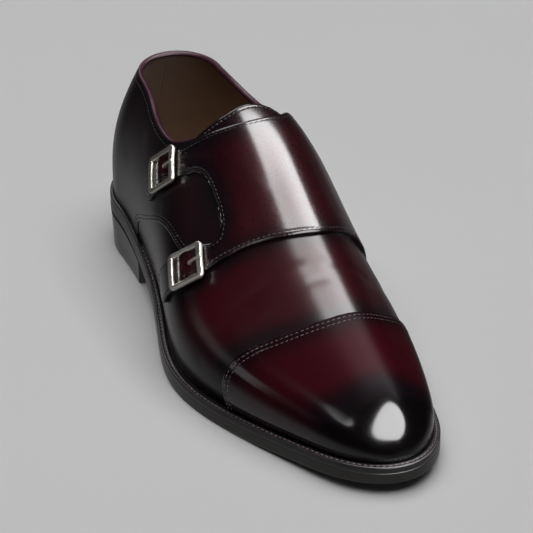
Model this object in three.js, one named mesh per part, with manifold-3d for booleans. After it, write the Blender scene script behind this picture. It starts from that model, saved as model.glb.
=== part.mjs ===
// Double monk strap shoe, right foot: toe towards -Y, inner (medial) side towards +X, floor at z = 0.
// Every curved piece is worked out from one last: a table of sections, bent round the heel at the back.
import * as THREE from "three";
import { mergeVertices } from "three/addons/utils/BufferGeometryUtils.js";
import Module from "manifold-3d";

// ---- Driving dimensions (millimetres) ----
const gap = 0.3; // between pieces that meet
const wall = 2.0; // upper leather with its lining
const capThickness = 1.0;
const flapThickness = 1.8;
const tongueThickness = 1.8;
const tongueClearance = 0.6; // under the upper
const weltThickness = 3.0;
const outsoleThickness = 5.2;
const insoleRise = 2.0; // insole above the welt's top face
const insoleClearance = 0.4;
const heelTaper = 1.2; // how much the top piece is smaller than the seat
const cutReach = 1.5; // how far a cutter passes the leather on each side
const cutTop = 150; // top of the collar's cutter
const cutWidth = 160;
const lengthMiddle = 145.7; // distance from the heel's zero to the shoe's middle
const widthMiddle = -4.15;

// The last, one row for each section from heel to toe. s: distance from the back of the heel; axis: middle
// of the section; foot: height of the feather edge; footLat/footMed: half widths at the feather;
// wideLat/wideMed: at the widest; top: height of the ridge; ridge: its sideways place; shoulder: height
// share of the shoulder; full: its width share; margin: how far welt and sole stand out past the upper.
const sections = [
  { s: 38, axis: 0, foot: 30.3, footLat: 33, footMed: 31.5, wideLat: 33.5, wideMed: 33.5, top: 121,
    ridge: 0, shoulderLat: 0.78, shoulderMed: 0.78, fullLat: 0.56, fullMed: 0.56, margin: 2.6 },
  { s: 75, axis: 0, foot: 24, footLat: 34.5, footMed: 28, wideLat: 36, wideMed: 37.5, top: 119,
    ridge: 2, shoulderLat: 0.78, shoulderMed: 0.8, fullLat: 0.6, fullMed: 0.66, margin: 2.6 },
  { s: 110, axis: 0, foot: 17, footLat: 38.5, footMed: 24, wideLat: 41.5, wideMed: 44, top: 113,
    ridge: 4, shoulderLat: 0.72, shoulderMed: 0.8, fullLat: 0.62, fullMed: 0.78, margin: 3.8 },
  { s: 140, axis: 0, foot: 11.5, footLat: 45, footMed: 26, wideLat: 48, wideMed: 46.5, top: 101,
    ridge: 6, shoulderLat: 0.68, shoulderMed: 0.76, fullLat: 0.62, fullMed: 0.76, margin: 5 },
  { s: 170, axis: 0, foot: 8.9, footLat: 50.5, footMed: 33, wideLat: 53, wideMed: 47.5, top: 85,
    ridge: 7, shoulderLat: 0.66, shoulderMed: 0.72, fullLat: 0.62, fullMed: 0.7, margin: 5.5 },
  { s: 200, axis: 0, foot: 8.5, footLat: 47, footMed: 38.5, wideLat: 50, wideMed: 47, top: 69.5,
    ridge: 7.5, shoulderLat: 0.67, shoulderMed: 0.7, fullLat: 0.62, fullMed: 0.66, margin: 5.5 },
  { s: 230, axis: 1, foot: 9.4, footLat: 37, footMed: 37.5, wideLat: 40.5, wideMed: 41.5, top: 55.5,
    ridge: 8, shoulderLat: 0.7, shoulderMed: 0.7, fullLat: 0.62, fullMed: 0.64, margin: 5.5 },
  { s: 258, axis: 3, foot: 11.4, footLat: 26.5, footMed: 30, wideLat: 29.5, wideMed: 32, top: 44,
    ridge: 7.5, shoulderLat: 0.74, shoulderMed: 0.74, fullLat: 0.62, fullMed: 0.62, margin: 5.5 },
  { s: 280, axis: 5, foot: 13.6, footLat: 16.5, footMed: 18, wideLat: 18.5, wideMed: 19.5, top: 33,
    ridge: 6.8, shoulderLat: 0.76, shoulderMed: 0.76, fullLat: 0.62, fullMed: 0.62, margin: 5.5 },
  { s: 290, axis: 6.4, foot: 14.6, footLat: 0, footMed: 0, wideLat: 0, wideMed: 0, top: 14.6,
    ridge: 6.4, shoulderLat: 0.76, shoulderMed: 0.76, fullLat: 0.62, fullMed: 0.62, margin: 5.5 },
];
const lowShare = 0.16; // height share where the side is first at its widest
const midShare = 0.42; // height share where it starts to turn in
const heelBack = { foot: 39.5, wide: 41, lean: 7, full: 0.62 }; // back of the heel behind the first section
const toeEnd = sections.length; // stations run 0..1 round the heel and 1..toeEnd along the foot

// Side view of the collar's edge.
const collar = [
  { s: -12, z: 101 }, { s: 8, z: 100.5 }, { s: 30, z: 99 }, { s: 50, z: 96.5 }, { s: 64, z: 92.5 },
  { s: 77, z: 89.5 }, { s: 90, z: 88.5 }, { s: 99, z: 90 }, { s: 108, z: 94.5 }, { s: 114, z: 101 },
  { s: 118, z: 110 },
];
const throat = { from: 0.43, to: 0.57, back: 100, front: 166 };
const tongue = { from: 0.35, to: 0.65, back: 115, front: 176, rounding: 5 };

// The flap across the instep and its two straps: its edges for each place across, 0 lateral to 1 medial.
const flapEdges = [
  { across: 0.25, back: 92.5, front: 168 }, { across: 0.327, back: 105, front: 172 },
  { across: 0.39, back: 114.5, front: 178 }, { across: 0.45, back: 123, front: 184.5 },
  { across: 0.51, back: 126.5, front: 188 }, { across: 0.577, back: 121, front: 185 },
  { across: 0.64, back: 109, front: 178 }, { across: 0.71, back: 98, front: 170.5 },
  { across: 0.78, back: 97, front: 166 }, { across: 0.86, back: 108, front: 161 },
  { across: 0.92, back: 130, front: 150 },
];
// The rounded notch between the two straps.
const notchEdges = [
  { across: 0.17, back: 97, front: 144 }, { across: 0.25, back: 107, front: 150.5 },
  { across: 0.313, back: 117.5, front: 158.5 }, { across: 0.345, back: 124, front: 163 },
  { across: 0.36, back: 129, front: 161 }, { across: 0.368, back: 137, front: 153 },
];
const capLine = { side: 213, reach: 18, power: 4.5 };

// A buckle lies on its strap: middle (s, across), size along and across the strap, and the strap's end tab.
const buckle = { along: 21, across: 20, bar: 2.6, height: 2.4, corner: 3.2, lift: 0.7 };
const prong = { length: 12.5, width: 1.9, height: 1.4 };
const fasteners = [
  { name: "upper", s: 103.3, across: 0.268, frontS: 111.5, frontAcross: 0.32, tabS: 87, tabAcross: 0.165 },
  { name: "lower", s: 160.5, across: 0.252, frontS: 166.5, frontAcross: 0.308, tabS: 141, tabAcross: 0.1 },
];
const strapWidth = 15.5;
const tabEndGap = 0.007; // across, between a tab's end and the flap
const tabSlant = 1.2; // a tab lies slantwise, so its width along the foot is this much more

// ---- The last ----
// A smooth curve through a column of the table, at whole-number knots; an end slope of null is left free.
function columnCurve(values, startSlope, endSlope) {
  const count = values.length;
  const diagonal = [];
  const right = [];
  for (let i = 0; i < count; i += 1) {
    const before = i === 0 ? 0 : values[i] - values[i - 1];
    const after = i === count - 1 ? 0 : values[i + 1] - values[i];
    diagonal.push(4);
    right.push(3 * (before + after));
  }
  const lower = new Array(count).fill(1);
  const upper = new Array(count).fill(1);
  const ends = [[0, startSlope], [count - 1, endSlope]];
  for (const [i, slope] of ends) {
    diagonal[i] = slope === null ? 2 : 1;
    right[i] = slope === null ? right[i] : slope;
    lower[i] = slope === null ? 1 : 0;
    upper[i] = slope === null ? 1 : 0;
  }
  for (let i = 1; i < count; i += 1) {
    const factor = lower[i] / diagonal[i - 1];
    diagonal[i] -= factor * upper[i - 1];
    right[i] -= factor * right[i - 1];
  }
  const slopes = new Array(count).fill(0);
  slopes[count - 1] = right[count - 1] / diagonal[count - 1];
  for (let i = count - 2; i >= 0; i -= 1) {
    slopes[i] = (right[i] - upper[i] * slopes[i + 1]) / diagonal[i];
  }
  return (knot) => {
    const i = Math.min(Math.max(Math.floor(knot), 0), count - 2);
    const f = knot - i;
    const rise = values[i + 1] - values[i];
    const start = slopes[i] - rise;
    const end = rise - slopes[i + 1];
    return values[i] + rise * f + f * (1 - f) * (start * (1 - f) + end * f);
  };
}

const column = {};
for (const name of Object.keys(sections[0])) {
  const startSlope = name === "s" ? null : 0;
  const endSlope = name === "s" ? 0 : null;
  column[name] = columnCurve(sections.map((row) => row[name]), startSlope, endSlope);
}

// Weights of the nine control points of a section, for a place t across it (0 lateral, 1 medial).
function sectionWeights(t) {
  const knots = [0, 0, 0, 0, 1 / 6, 2 / 6, 3 / 6, 4 / 6, 5 / 6, 1, 1, 1, 1];
  let weights = knots.slice(1).map((knot, i) => (t >= knots[i] && (t < knot || (t === 1 && knot === 1))
    && knots[i] < knot ? 1 : 0));
  for (let degree = 1; degree <= 3; degree += 1) {
    weights = weights.slice(1).map((next, i) => {
      const rise = knots[i + degree] - knots[i];
      const fall = knots[i + degree + 1] - knots[i + 1];
      const left = rise > 0 ? ((t - knots[i]) / rise) * weights[i] : 0;
      const right = fall > 0 ? ((knots[i + degree + 1] - t) / fall) * next : 0;
      return left + right;
    });
  }
  return weights;
}

function blend(weights, values) {
  return weights.reduce((sum, weight, i) => sum + weight * values[i], 0);
}

// The half-width and height of each control point of the section at a knot.
function sectionControls(knot) {
  const c = Object.fromEntries(Object.keys(column).map((name) => [name, column[name](knot)]));
  const height = c.top - c.foot;
  const lat = c.foot + c.shoulderLat * height;
  const med = c.foot + c.shoulderMed * height;
  const low = c.foot + lowShare * height;
  const mid = c.foot + midShare * height;
  const crown = (6 * c.top - lat - med) / 4;
  const xs = [-c.footLat, -c.wideLat, -c.wideLat, -c.wideLat * c.fullLat, c.ridge - c.axis,
    c.wideMed * c.fullMed, c.wideMed, c.wideMed, c.footMed];
  const zs = [c.foot, low, mid, lat, crown, med, mid, low, c.foot];
  return { s: c.s, axis: c.axis, xs, zs };
}

function toWorld(x, s, z) {
  return new THREE.Vector3(x - widthMiddle, lengthMiddle - s, z);
}

// A point of the last: station 0..1 turns round the heel, 1..toeEnd runs to the toe tip; t is the place across.
function lastPoint(station, t) {
  const weights = sectionWeights(t);
  const { s, axis, xs, zs } = sectionControls(Math.max(station - 1, 0));
  const x = blend(weights, xs);
  const z = blend(weights, zs);
  if (station >= 1) return toWorld(x + axis, s, z);
  const half = heelBack.wide - heelBack.lean;
  const reach = [heelBack.foot, heelBack.wide, half, half * heelBack.full, 0];
  const back = blend(weights, [...reach, ...reach.slice(0, 4).reverse()]);
  const turn = (station * Math.PI) / 2;
  return toWorld(x * Math.sin(turn), s - back * Math.cos(turn), z);
}

// The last's surface moved outwards by an offset, never lower than the gap above the welt.
function surfacePoint(station, t, offset) {
  const step = 1e-3;
  const along = lastPoint(Math.min(station + step, toeEnd), t).sub(lastPoint(Math.max(station - step, 0), t));
  const over = lastPoint(station, Math.min(t + step, 1)).sub(lastPoint(station, Math.max(t - step, 0)));
  const normal = along.cross(over);
  if (station < step) normal.x = 0;
  if (station > toeEnd - step) normal.set(0, -1, 0);
  const point = lastPoint(station, t).addScaledVector(normal.normalize(), offset);
  const floor = column.foot(Math.max(station - 1, 0)) + (offset > 0 ? gap : 0);
  point.z = Math.max(point.z, floor);
  return point;
}

// The station at a distance s from the heel's back.
function stationAt(s) {
  let low = 0;
  let high = sections.length - 1;
  for (let i = 0; i < 40; i += 1) {
    const middle = (low + high) / 2;
    if (column.s(middle) < s) low = middle;
    else high = middle;
  }
  return 1 + low;
}

// The feather edge moved outwards in plan; side -1 is lateral, 1 medial.
function featherPoint(station, side, offset) {
  const t = side < 0 ? 0 : 1;
  const step = 1e-3;
  const point = lastPoint(station, t);
  const along = lastPoint(Math.min(station + step, toeEnd), t).sub(lastPoint(Math.max(station - step, 0), t));
  if (station < step) along.set(side, 0, 0);
  if (station > toeEnd - step) along.set(-side, 0, 0);
  const outward = new THREE.Vector3(along.y, -along.x, 0).multiplyScalar(side < 0 ? 1 : -1).normalize();
  return point.addScaledVector(outward, offset);
}

function soleMargin(station) {
  return wall + column.margin(Math.max(station - 1, 0));
}

// ---- Solids from pairs of sheets ----
function range(start, end, steps) {
  return Array.from({ length: steps + 1 }, (_, i) => start + ((end - start) * i) / steps);
}

// Closes two sheets of points, front(u, v) and back(u, v), into one solid with faces all round.
function closedSheets(us, vs, front, back, seamAtStart = false) {
  const points = [];
  const grids = [front, back].map((sheet) => us.map((u) => vs.map((v) => points.push(sheet(u, v)) - 1)));
  const faces = [];
  const quad = (a, b, c, d) => faces.push([a, b, c], [a, c, d]);
  const [f, b] = grids;
  const m = us.length - 1;
  const n = vs.length - 1;
  for (let i = 0; i < m; i += 1) {
    for (let j = 0; j < n; j += 1) {
      quad(f[i][j], f[i + 1][j], f[i + 1][j + 1], f[i][j + 1]);
      quad(b[i][j], b[i][j + 1], b[i + 1][j + 1], b[i + 1][j]);
    }
    quad(f[i][0], b[i][0], b[i + 1][0], f[i + 1][0]);
    quad(f[i][n], f[i + 1][n], b[i + 1][n], b[i][n]);
  }
  for (let j = 0; j < n; j += 1) {
    if (!seamAtStart) quad(f[0][j], f[0][j + 1], b[0][j + 1], b[0][j]);
    quad(f[m][j], b[m][j], b[m][j + 1], f[m][j + 1]);
  }
  return solidGeometry(points, faces);
}

// Merges shared points, drops collapsed faces and turns the faces outwards.
function solidGeometry(points, faces) {
  const raw = new THREE.BufferGeometry();
  raw.setAttribute("position", new THREE.Float32BufferAttribute(points.flatMap((p) => p.toArray()), 3));
  raw.setIndex(faces.flat());
  const merged = mergeVertices(raw, 1e-3);
  const position = merged.getAttribute("position");
  const corner = (i) => new THREE.Vector3().fromBufferAttribute(position, i);
  const kept = [];
  let volume = 0;
  for (let i = 0; i < merged.index.count; i += 3) {
    const [a, b, c] = [0, 1, 2].map((j) => merged.index.getX(i + j));
    if (a === b || b === c || c === a) continue;
    kept.push([a, b, c]);
    volume += corner(a).dot(corner(b).cross(corner(c)));
  }
  merged.setIndex((volume > 0 ? kept : kept.map(([a, b, c]) => [a, c, b])).flat());
  return merged;
}

const wasm = await Module();
wasm.setup();

function toManifold(geometry) {
  const plain = geometry.clone();
  plain.deleteAttribute("normal");
  plain.deleteAttribute("uv");
  const merged = mergeVertices(plain, 1e-3);
  const vertProperties = new Float32Array(merged.getAttribute("position").array);
  const triVerts = new Uint32Array(merged.index.array);
  return new wasm.Manifold(new wasm.Mesh({ numProp: 3, vertProperties, triVerts }));
}

function toGeometry(solid) {
  const mesh = solid.getMesh();
  const geometry = new THREE.BufferGeometry();
  geometry.setAttribute("position", new THREE.Float32BufferAttribute(Array.from(mesh.vertProperties), 3));
  geometry.setIndex(Array.from(mesh.triVerts));
  return geometry;
}

// A table column as a curve of the place across.
function edgeCurve(rows, name) {
  const curve = columnCurve(rows.map((row) => row[name]), null, null);
  return (across) => {
    const after = rows.findIndex((row) => row.across >= across);
    const i = Math.max(after < 0 ? rows.length - 1 : after, 1);
    const share = (across - rows[i - 1].across) / (rows[i].across - rows[i - 1].across);
    return curve(i - 1 + share);
  };
}

// A piece of leather over the last, between two edges given by s, with its inner and outer offsets.
function overlay(acrosses, backEdge, frontEdge, steps, inner, outer) {
  const place = (t, share) => stationAt(backEdge(t)) * (1 - share) + stationAt(frontEdge(t)) * share;
  const sheet = (offset) => (t, share) => surfacePoint(place(t, share), t, offset);
  return closedSheets(acrosses, range(0, 1, steps), sheet(outer), sheet(inner));
}

const heelStations = range(0, 1, 7);
const toeStations = range(toeEnd - 1, toeEnd, 5).slice(1);
const stations = [...heelStations, ...range(1, toeEnd - 1, 18).slice(1), ...toeStations];
const across = range(0, 1, 20);

// The places across that lie between two limits, with the limits themselves.
function acrossBetween(from, to) {
  return [from, ...across.filter((t) => t > from + 0.01 && t < to - 0.01), to];
}

// ---- Sole ----
// A plate under the whole foot or a stretch of it, between two heights that may change along it.
function plate(rows, outset, top, bottom, bottomShift = (station) => station, bottomOutset = outset) {
  const sheet = (height, margin, shift) => (station, share) => {
    const at = shift(station);
    const lateral = featherPoint(at, -1, margin(at));
    const point = lateral.lerp(featherPoint(at, 1, margin(at)), share);
    point.z = height(at);
    return point;
  };
  const upperSheet = sheet(top, outset, (station) => station);
  const lowerSheet = sheet(bottom, bottomOutset, bottomShift);
  return closedSheets(rows, range(0, 1, 4), upperSheet, lowerSheet, rows[0] === 0);
}

function footHeight(station) {
  return column.foot(Math.max(station - 1, 0));
}

function outsoleBottom(station) {
  return Math.max(footHeight(station) - weltThickness - gap - outsoleThickness, 0);
}

function outsole() {
  return plate(stations, soleMargin, (at) => footHeight(at) - weltThickness - gap, outsoleBottom);
}

function insole() {
  const inset = () => -insoleClearance;
  return plate(stations, inset, (at) => footHeight(at) + insoleRise, (at) => footHeight(at) - weltThickness);
}

const breast = { top: 75.5, bottom: 72.5 };

function heel() {
  const rows = [...heelStations, ...range(1, stationAt(breast.top), 2).slice(1)];
  const taper = (stationAt(breast.bottom) - 1) / (stationAt(breast.top) - 1);
  const shift = (station) => (station <= 1 ? station : 1 + (station - 1) * taper);
  const top = (station) => outsoleBottom(station) - gap;
  return plate(rows, soleMargin, top, () => 0, shift, (station) => soleMargin(station) - heelTaper);
}

// A strip of the welt's level from the upper's inner face to the sole's edge, for one run of stations.
function edgeStrip(path) {
  const outer = ([station, side], share) => featherPoint(station, side, soleMargin(station) * share);
  const sheet = (drop) => (stop, share) => {
    const point = outer(stop, share);
    point.z = footHeight(stop[0]) - drop;
    return point;
  };
  return closedSheets(path, [0, 1], sheet(0), sheet(weltThickness));
}

function welt() {
  const rows = stations.filter((station) => station > stationAt(breast.top));
  const start = stationAt(breast.top);
  const lateral = [start, ...rows].map((station) => [station, -1]);
  const medial = [start, ...rows].slice(0, -1).reverse().map((station) => [station, 1]);
  return edgeStrip([...lateral, ...medial]);
}

function heelRand() {
  const rows = [...heelStations, ...range(1, stationAt(breast.top - gap), 2).slice(1)];
  const lateral = rows.slice().reverse().map((station) => [station, -1]);
  return edgeStrip([...lateral, ...rows.slice(1).map((station) => [station, 1])]);
}

// ---- Upper ----
// The whole last swollen by an offset, closed underneath at a drop below the feather edge.
function swollenLast(offset, drop) {
  const bottom = (station, t) => {
    const point = surfacePoint(station, 0, offset).lerp(surfacePoint(station, 1, offset), t);
    point.z -= drop;
    return point;
  };
  return closedSheets(stations, across, (station, t) => surfacePoint(station, t, offset), bottom, true);
}

// Everything above the collar's edge, right across the shoe.
function collarCutter() {
  const edge = collar.map((row) => new THREE.Vector2(row.s, row.z));
  const shape = new THREE.Shape().moveTo(edge[0].x, cutTop).lineTo(edge[0].x, edge[0].y);
  shape.splineThru(edge.slice(1));
  shape.lineTo(edge.at(-1).x, cutTop);
  const geometry = new THREE.ExtrudeGeometry(shape, { depth: cutWidth, bevelEnabled: false, curveSegments: 3 });
  const sideways = new THREE.Matrix4().makeBasis(
    new THREE.Vector3(0, -1, 0), new THREE.Vector3(0, 0, 1), new THREE.Vector3(-1, 0, 0));
  geometry.applyMatrix4(sideways);
  return geometry.translate(cutWidth / 2, lengthMiddle, 0);
}

function throatCutter() {
  const { from, to, back, front } = throat;
  return overlay(acrossBetween(from, to), () => back, () => front, 6, -cutReach, wall + cutReach);
}

function upper() {
  const outside = toManifold(swollenLast(wall, 0));
  const inside = toManifold(swollenLast(0, 2 * cutReach));
  const shell = outside.subtract(inside);
  return toGeometry(shell.subtract(toManifold(collarCutter())).subtract(toManifold(throatCutter())));
}

function tonguePiece() {
  const { from, to, back, front, rounding } = tongue;
  const middle = (from + to) / 2;
  const rounded = (t) => back + rounding * ((t - middle) / (to - middle)) ** 4;
  const inner = -tongueClearance - tongueThickness;
  return overlay(acrossBetween(from, to), rounded, () => front, 7, inner, -tongueClearance);
}

// Two forms of the upper's own surface, one inside the other, from the cap's line to the toe tip.
function toeCap() {
  const { side, reach, power } = capLine;
  const line = (t) => side + reach * Math.sin(Math.PI * t) ** power;
  const front = () => column.s(sections.length - 1);
  return overlay(across, line, front, 14, wall + gap, wall + gap + capThickness);
}

// ---- Straps, tabs and buckles ----
const overlayInner = wall + gap;
const overlayOuter = wall + gap + flapThickness;

function strapFlap() {
  const rows = acrossBetween(flapEdges[0].across, flapEdges.at(-1).across);
  const edges = (table) => [edgeCurve(table, "back"), edgeCurve(table, "front")];
  const whole = overlay(rows, ...edges(flapEdges), 7, overlayInner, overlayOuter);
  const notchAcross = range(notchEdges[0].across, notchEdges.at(-1).across, 10);
  const notch = overlay(notchAcross, ...edges(notchEdges), 6, overlayInner - cutReach, overlayOuter + cutReach);
  return toGeometry(toManifold(whole).subtract(toManifold(notch)));
}

// The tab that carries a buckle, from under its centre bar down the side.
function buckleTab(fastener) {
  const start = fastener.tabAcross;
  const end = flapEdges[0].across - tabEndGap;
  const lean = (fastener.frontS - fastener.tabS) / (fastener.frontAcross - fastener.tabAcross);
  const middle = (t) => fastener.tabS + lean * (t - start);
  const half = (strapWidth / 2) * tabSlant;
  const [back, front] = [-half, half].map((shift) => (t) => middle(t) + shift);
  return overlay(range(start, end, 6), back, front, 3, overlayInner, overlayOuter);
}

// A frame of axes on the leather at a fastener: along the strap towards the instep, across it, and outwards.
function fastenerFrame(fastener) {
  const station = stationAt(fastener.s);
  const middle = surfacePoint(station, fastener.across, overlayOuter);
  const inner = surfacePoint(station, fastener.across, 0);
  const outward = middle.clone().sub(inner).normalize();
  const front = surfacePoint(stationAt(fastener.frontS), fastener.frontAcross, overlayOuter);
  const along = front.sub(middle);
  along.addScaledVector(outward, -along.dot(outward)).normalize();
  const sideways = outward.clone().cross(along);
  return { middle, along, sideways, outward };
}

function placeOn(mesh, fastener, lift) {
  const { middle, along, sideways, outward } = fastenerFrame(fastener);
  mesh.quaternion.setFromRotationMatrix(new THREE.Matrix4().makeBasis(along, sideways, outward));
  mesh.position.copy(middle).addScaledVector(outward, lift);
  return mesh;
}

function roundedRectangle(shape, width, height, radius) {
  const x = width / 2;
  const y = height / 2;
  shape.moveTo(-x + radius, -y).lineTo(x - radius, -y).absarc(x - radius, -y + radius, radius, -Math.PI / 2, 0);
  shape.lineTo(x, y - radius).absarc(x - radius, y - radius, radius, 0, Math.PI / 2);
  shape.lineTo(-x + radius, y).absarc(-x + radius, y - radius, radius, Math.PI / 2, Math.PI);
  shape.lineTo(-x, -y + radius).absarc(-x + radius, -y + radius, radius, Math.PI, Math.PI * 1.5);
  return shape;
}

function buckleFrame() {
  const { along, across: wide, bar, height, corner } = buckle;
  const shape = roundedRectangle(new THREE.Shape(), along, wide, corner);
  const opening = (along - 3 * bar) / 2;
  for (const side of [-1, 1]) {
    const hole = roundedRectangle(new THREE.Path(), opening, wide - 2 * bar, 0.6);
    hole.curves.forEach((curve) => shiftCurve(curve, side * (opening + bar) / 2));
    shape.holes.push(hole);
  }
  return new THREE.ExtrudeGeometry(shape, { depth: height, bevelEnabled: false, curveSegments: 5 });
}

function shiftCurve(curve, x) {
  for (const point of [curve.v1, curve.v2]) if (point) point.x += x;
  if (curve.aX !== undefined) curve.aX += x;
}

function prongBar() {
  const { length, width, height } = prong;
  const shape = roundedRectangle(new THREE.Shape(), length, width, width * 0.45);
  const geometry = new THREE.ExtrudeGeometry(shape, { depth: height, bevelEnabled: false, curveSegments: 4 });
  return geometry.translate(length / 2 - buckle.bar / 2, 0, 0);
}

// ---- Assembly ----
const looks = {
  leather: { color: 0x3a0f16, roughness: 0.25, metalness: 0 },
  cap: { color: 0x2a0a12, roughness: 0.15, metalness: 0 },
  lining: { color: 0x9c7551, roughness: 0.7, metalness: 0 },
  edge: { color: 0x1b1716, roughness: 0.4, metalness: 0 },
  nickel: { color: 0xc9c4bb, roughness: 0.25, metalness: 1 },
};

function piece(name, geometry, look) {
  const mesh = new THREE.Mesh(geometry, new THREE.MeshStandardMaterial(looks[look]));
  mesh.name = name;
  return mesh;
}

const shoe = new THREE.Group();
shoe.add(piece("outsole", outsole(), "edge"));
shoe.add(piece("heel", heel(), "edge"));
shoe.add(piece("welt", welt(), "edge"));
shoe.add(piece("heel_rand", heelRand(), "edge"));
shoe.add(piece("insole", insole(), "lining"));
shoe.add(piece("upper", upper(), "leather"));
shoe.add(piece("tongue", tonguePiece(), "leather"));
shoe.add(piece("toe_cap", toeCap(), "cap"));
shoe.add(piece("strap_flap", strapFlap(), "leather"));
for (const fastener of fasteners) {
  shoe.add(piece(`buckle_tab_${fastener.name}`, buckleTab(fastener), "leather"));
  shoe.add(placeOn(piece(`buckle_${fastener.name}`, buckleFrame(), "nickel"), fastener, buckle.lift));
  const lift = buckle.lift + buckle.height + gap;
  shoe.add(placeOn(piece(`prong_${fastener.name}`, prongBar(), "nickel"), fastener, lift));
}

export default shoe;
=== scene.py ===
# Double monk strap shoe: the fine surface of leather, stitching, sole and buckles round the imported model.
import math

import bmesh
import bpy
import numpy as np
from mathutils import Matrix, Vector


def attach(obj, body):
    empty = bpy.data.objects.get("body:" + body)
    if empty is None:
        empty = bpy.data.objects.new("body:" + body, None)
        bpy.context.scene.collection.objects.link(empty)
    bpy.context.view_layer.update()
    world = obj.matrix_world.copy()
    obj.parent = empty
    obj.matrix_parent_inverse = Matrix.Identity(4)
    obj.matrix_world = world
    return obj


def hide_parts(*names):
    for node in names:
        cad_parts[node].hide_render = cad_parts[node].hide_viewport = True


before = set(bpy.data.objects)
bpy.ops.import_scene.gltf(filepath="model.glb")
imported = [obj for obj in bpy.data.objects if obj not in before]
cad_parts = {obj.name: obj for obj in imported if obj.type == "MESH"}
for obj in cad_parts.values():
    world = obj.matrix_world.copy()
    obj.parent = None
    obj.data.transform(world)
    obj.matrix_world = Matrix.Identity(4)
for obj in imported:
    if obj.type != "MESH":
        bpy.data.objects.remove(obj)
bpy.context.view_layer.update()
mm = 0.001  # lengths on the last are worked out in millimetres and end up in metres
print("frame loaded")


# the last: sections from heel to toe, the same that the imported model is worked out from
lastColumns = ("s", "axis", "foot", "footLat", "footMed", "wideLat", "wideMed", "top", "ridge",
               "shoulderLat", "shoulderMed", "fullLat", "fullMed", "margin")
lastRows = [
    (38, 0, 30.3, 33, 31.5, 33.5, 33.5, 121, 0, 0.78, 0.78, 0.56, 0.56, 2.6),
    (75, 0, 24, 34.5, 28, 36, 37.5, 119, 2, 0.78, 0.80, 0.60, 0.66, 2.6),
    (110, 0, 17, 38.5, 24, 41.5, 44, 113, 4, 0.72, 0.80, 0.62, 0.78, 3.8),
    (140, 0, 11.5, 45, 26, 48, 46.5, 101, 6, 0.68, 0.76, 0.62, 0.76, 5),
    (170, 0, 8.9, 50.5, 33, 53, 47.5, 85, 7, 0.66, 0.72, 0.62, 0.70, 5.5),
    (200, 0, 8.5, 47, 38.5, 50, 47, 69.5, 7.5, 0.67, 0.70, 0.62, 0.66, 5.5),
    (230, 1, 9.4, 37, 37.5, 40.5, 41.5, 55.5, 8, 0.70, 0.70, 0.62, 0.64, 5.5),
    (258, 3, 11.4, 26.5, 30, 29.5, 32, 44, 7.5, 0.74, 0.74, 0.62, 0.62, 5.5),
    (280, 5, 13.6, 16.5, 18, 18.5, 19.5, 33, 6.8, 0.76, 0.76, 0.62, 0.62, 5.5),
    (290, 6.4, 14.6, 0, 0, 0, 0, 14.6, 6.4, 0.76, 0.76, 0.62, 0.62, 5.5),
]
last = {
    "lowShare": 0.16, "midShare": 0.42,  # heights where the side is widest and where it turns in
    "heelFoot": 39.5, "heelWide": 41, "heelLean": 7, "heelFull": 0.62,
    "lengthMiddle": 145.7, "widthMiddle": -4.15,
    "wall": 2.0, "welt": 3.0, "sole": 5.2, "insoleRise": 2.0,
    "breastTop": 75.5, "breastBottom": 72.5, "heelTaper": 1.2, "gap": 0.3,
}
toeEnd = len(lastRows)  # stations run 0..1 round the heel and 1..toeEnd along the foot
footEnd = lastRows[-1][0]


def columnCurve(values, startSlope=None, endSlope=None):
    # smooth curve through a column, at whole knots; a slope of None is left free
    values = np.asarray(values, float)
    count = len(values)
    system = np.eye(count) * 4
    steps = np.diff(values)
    right = 3 * (np.append(0, steps) + np.append(steps, 0))
    for i in range(1, count - 1):
        system[i, i - 1] = system[i, i + 1] = 1
    for row, beside, slope in ((0, 1, startSlope), (count - 1, count - 2, endSlope)):
        system[row, row] = 2 if slope is None else 1
        system[row, beside] = 1 if slope is None else 0
        right[row] = right[row] if slope is None else slope
    slopes = np.linalg.solve(system, right)

    def curve(knot):
        knot = np.asarray(knot, float)
        i = np.clip(np.floor(knot).astype(int), 0, count - 2)
        f = knot - i
        rise = values[i + 1] - values[i]
        bend = (slopes[i] - rise) * (1 - f) + (rise - slopes[i + 1]) * f
        return values[i] + rise * f + f * (1 - f) * bend
    return curve


column = {}
for place, columnName in enumerate(lastColumns):
    ends = (None, 0) if columnName == "s" else (0, None)
    column[columnName] = columnCurve([row[place] for row in lastRows], *ends)


def sectionWeights(t):
    # weights of a section's nine control points at the places t across it
    knots = [0, 0, 0, 0, 1 / 6, 2 / 6, 3 / 6, 4 / 6, 5 / 6, 1, 1, 1, 1]
    t = np.clip(t, 0, 1)
    spans = list(zip(knots, knots[1:]))
    weights = [((t >= a) & ((t < b) | ((t == 1) & (b == 1)))) * float(a < b) for a, b in spans]
    for degree in (1, 2, 3):
        nextWeights = []
        for i in range(len(weights) - 1):
            rise = knots[i + degree] - knots[i]
            fall = knots[i + degree + 1] - knots[i + 1]
            left = (t - knots[i]) / rise * weights[i] if rise else 0
            right = (knots[i + degree + 1] - t) / fall * weights[i + 1] if fall else 0
            nextWeights.append(left + right)
        weights = nextWeights
    return weights


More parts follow.
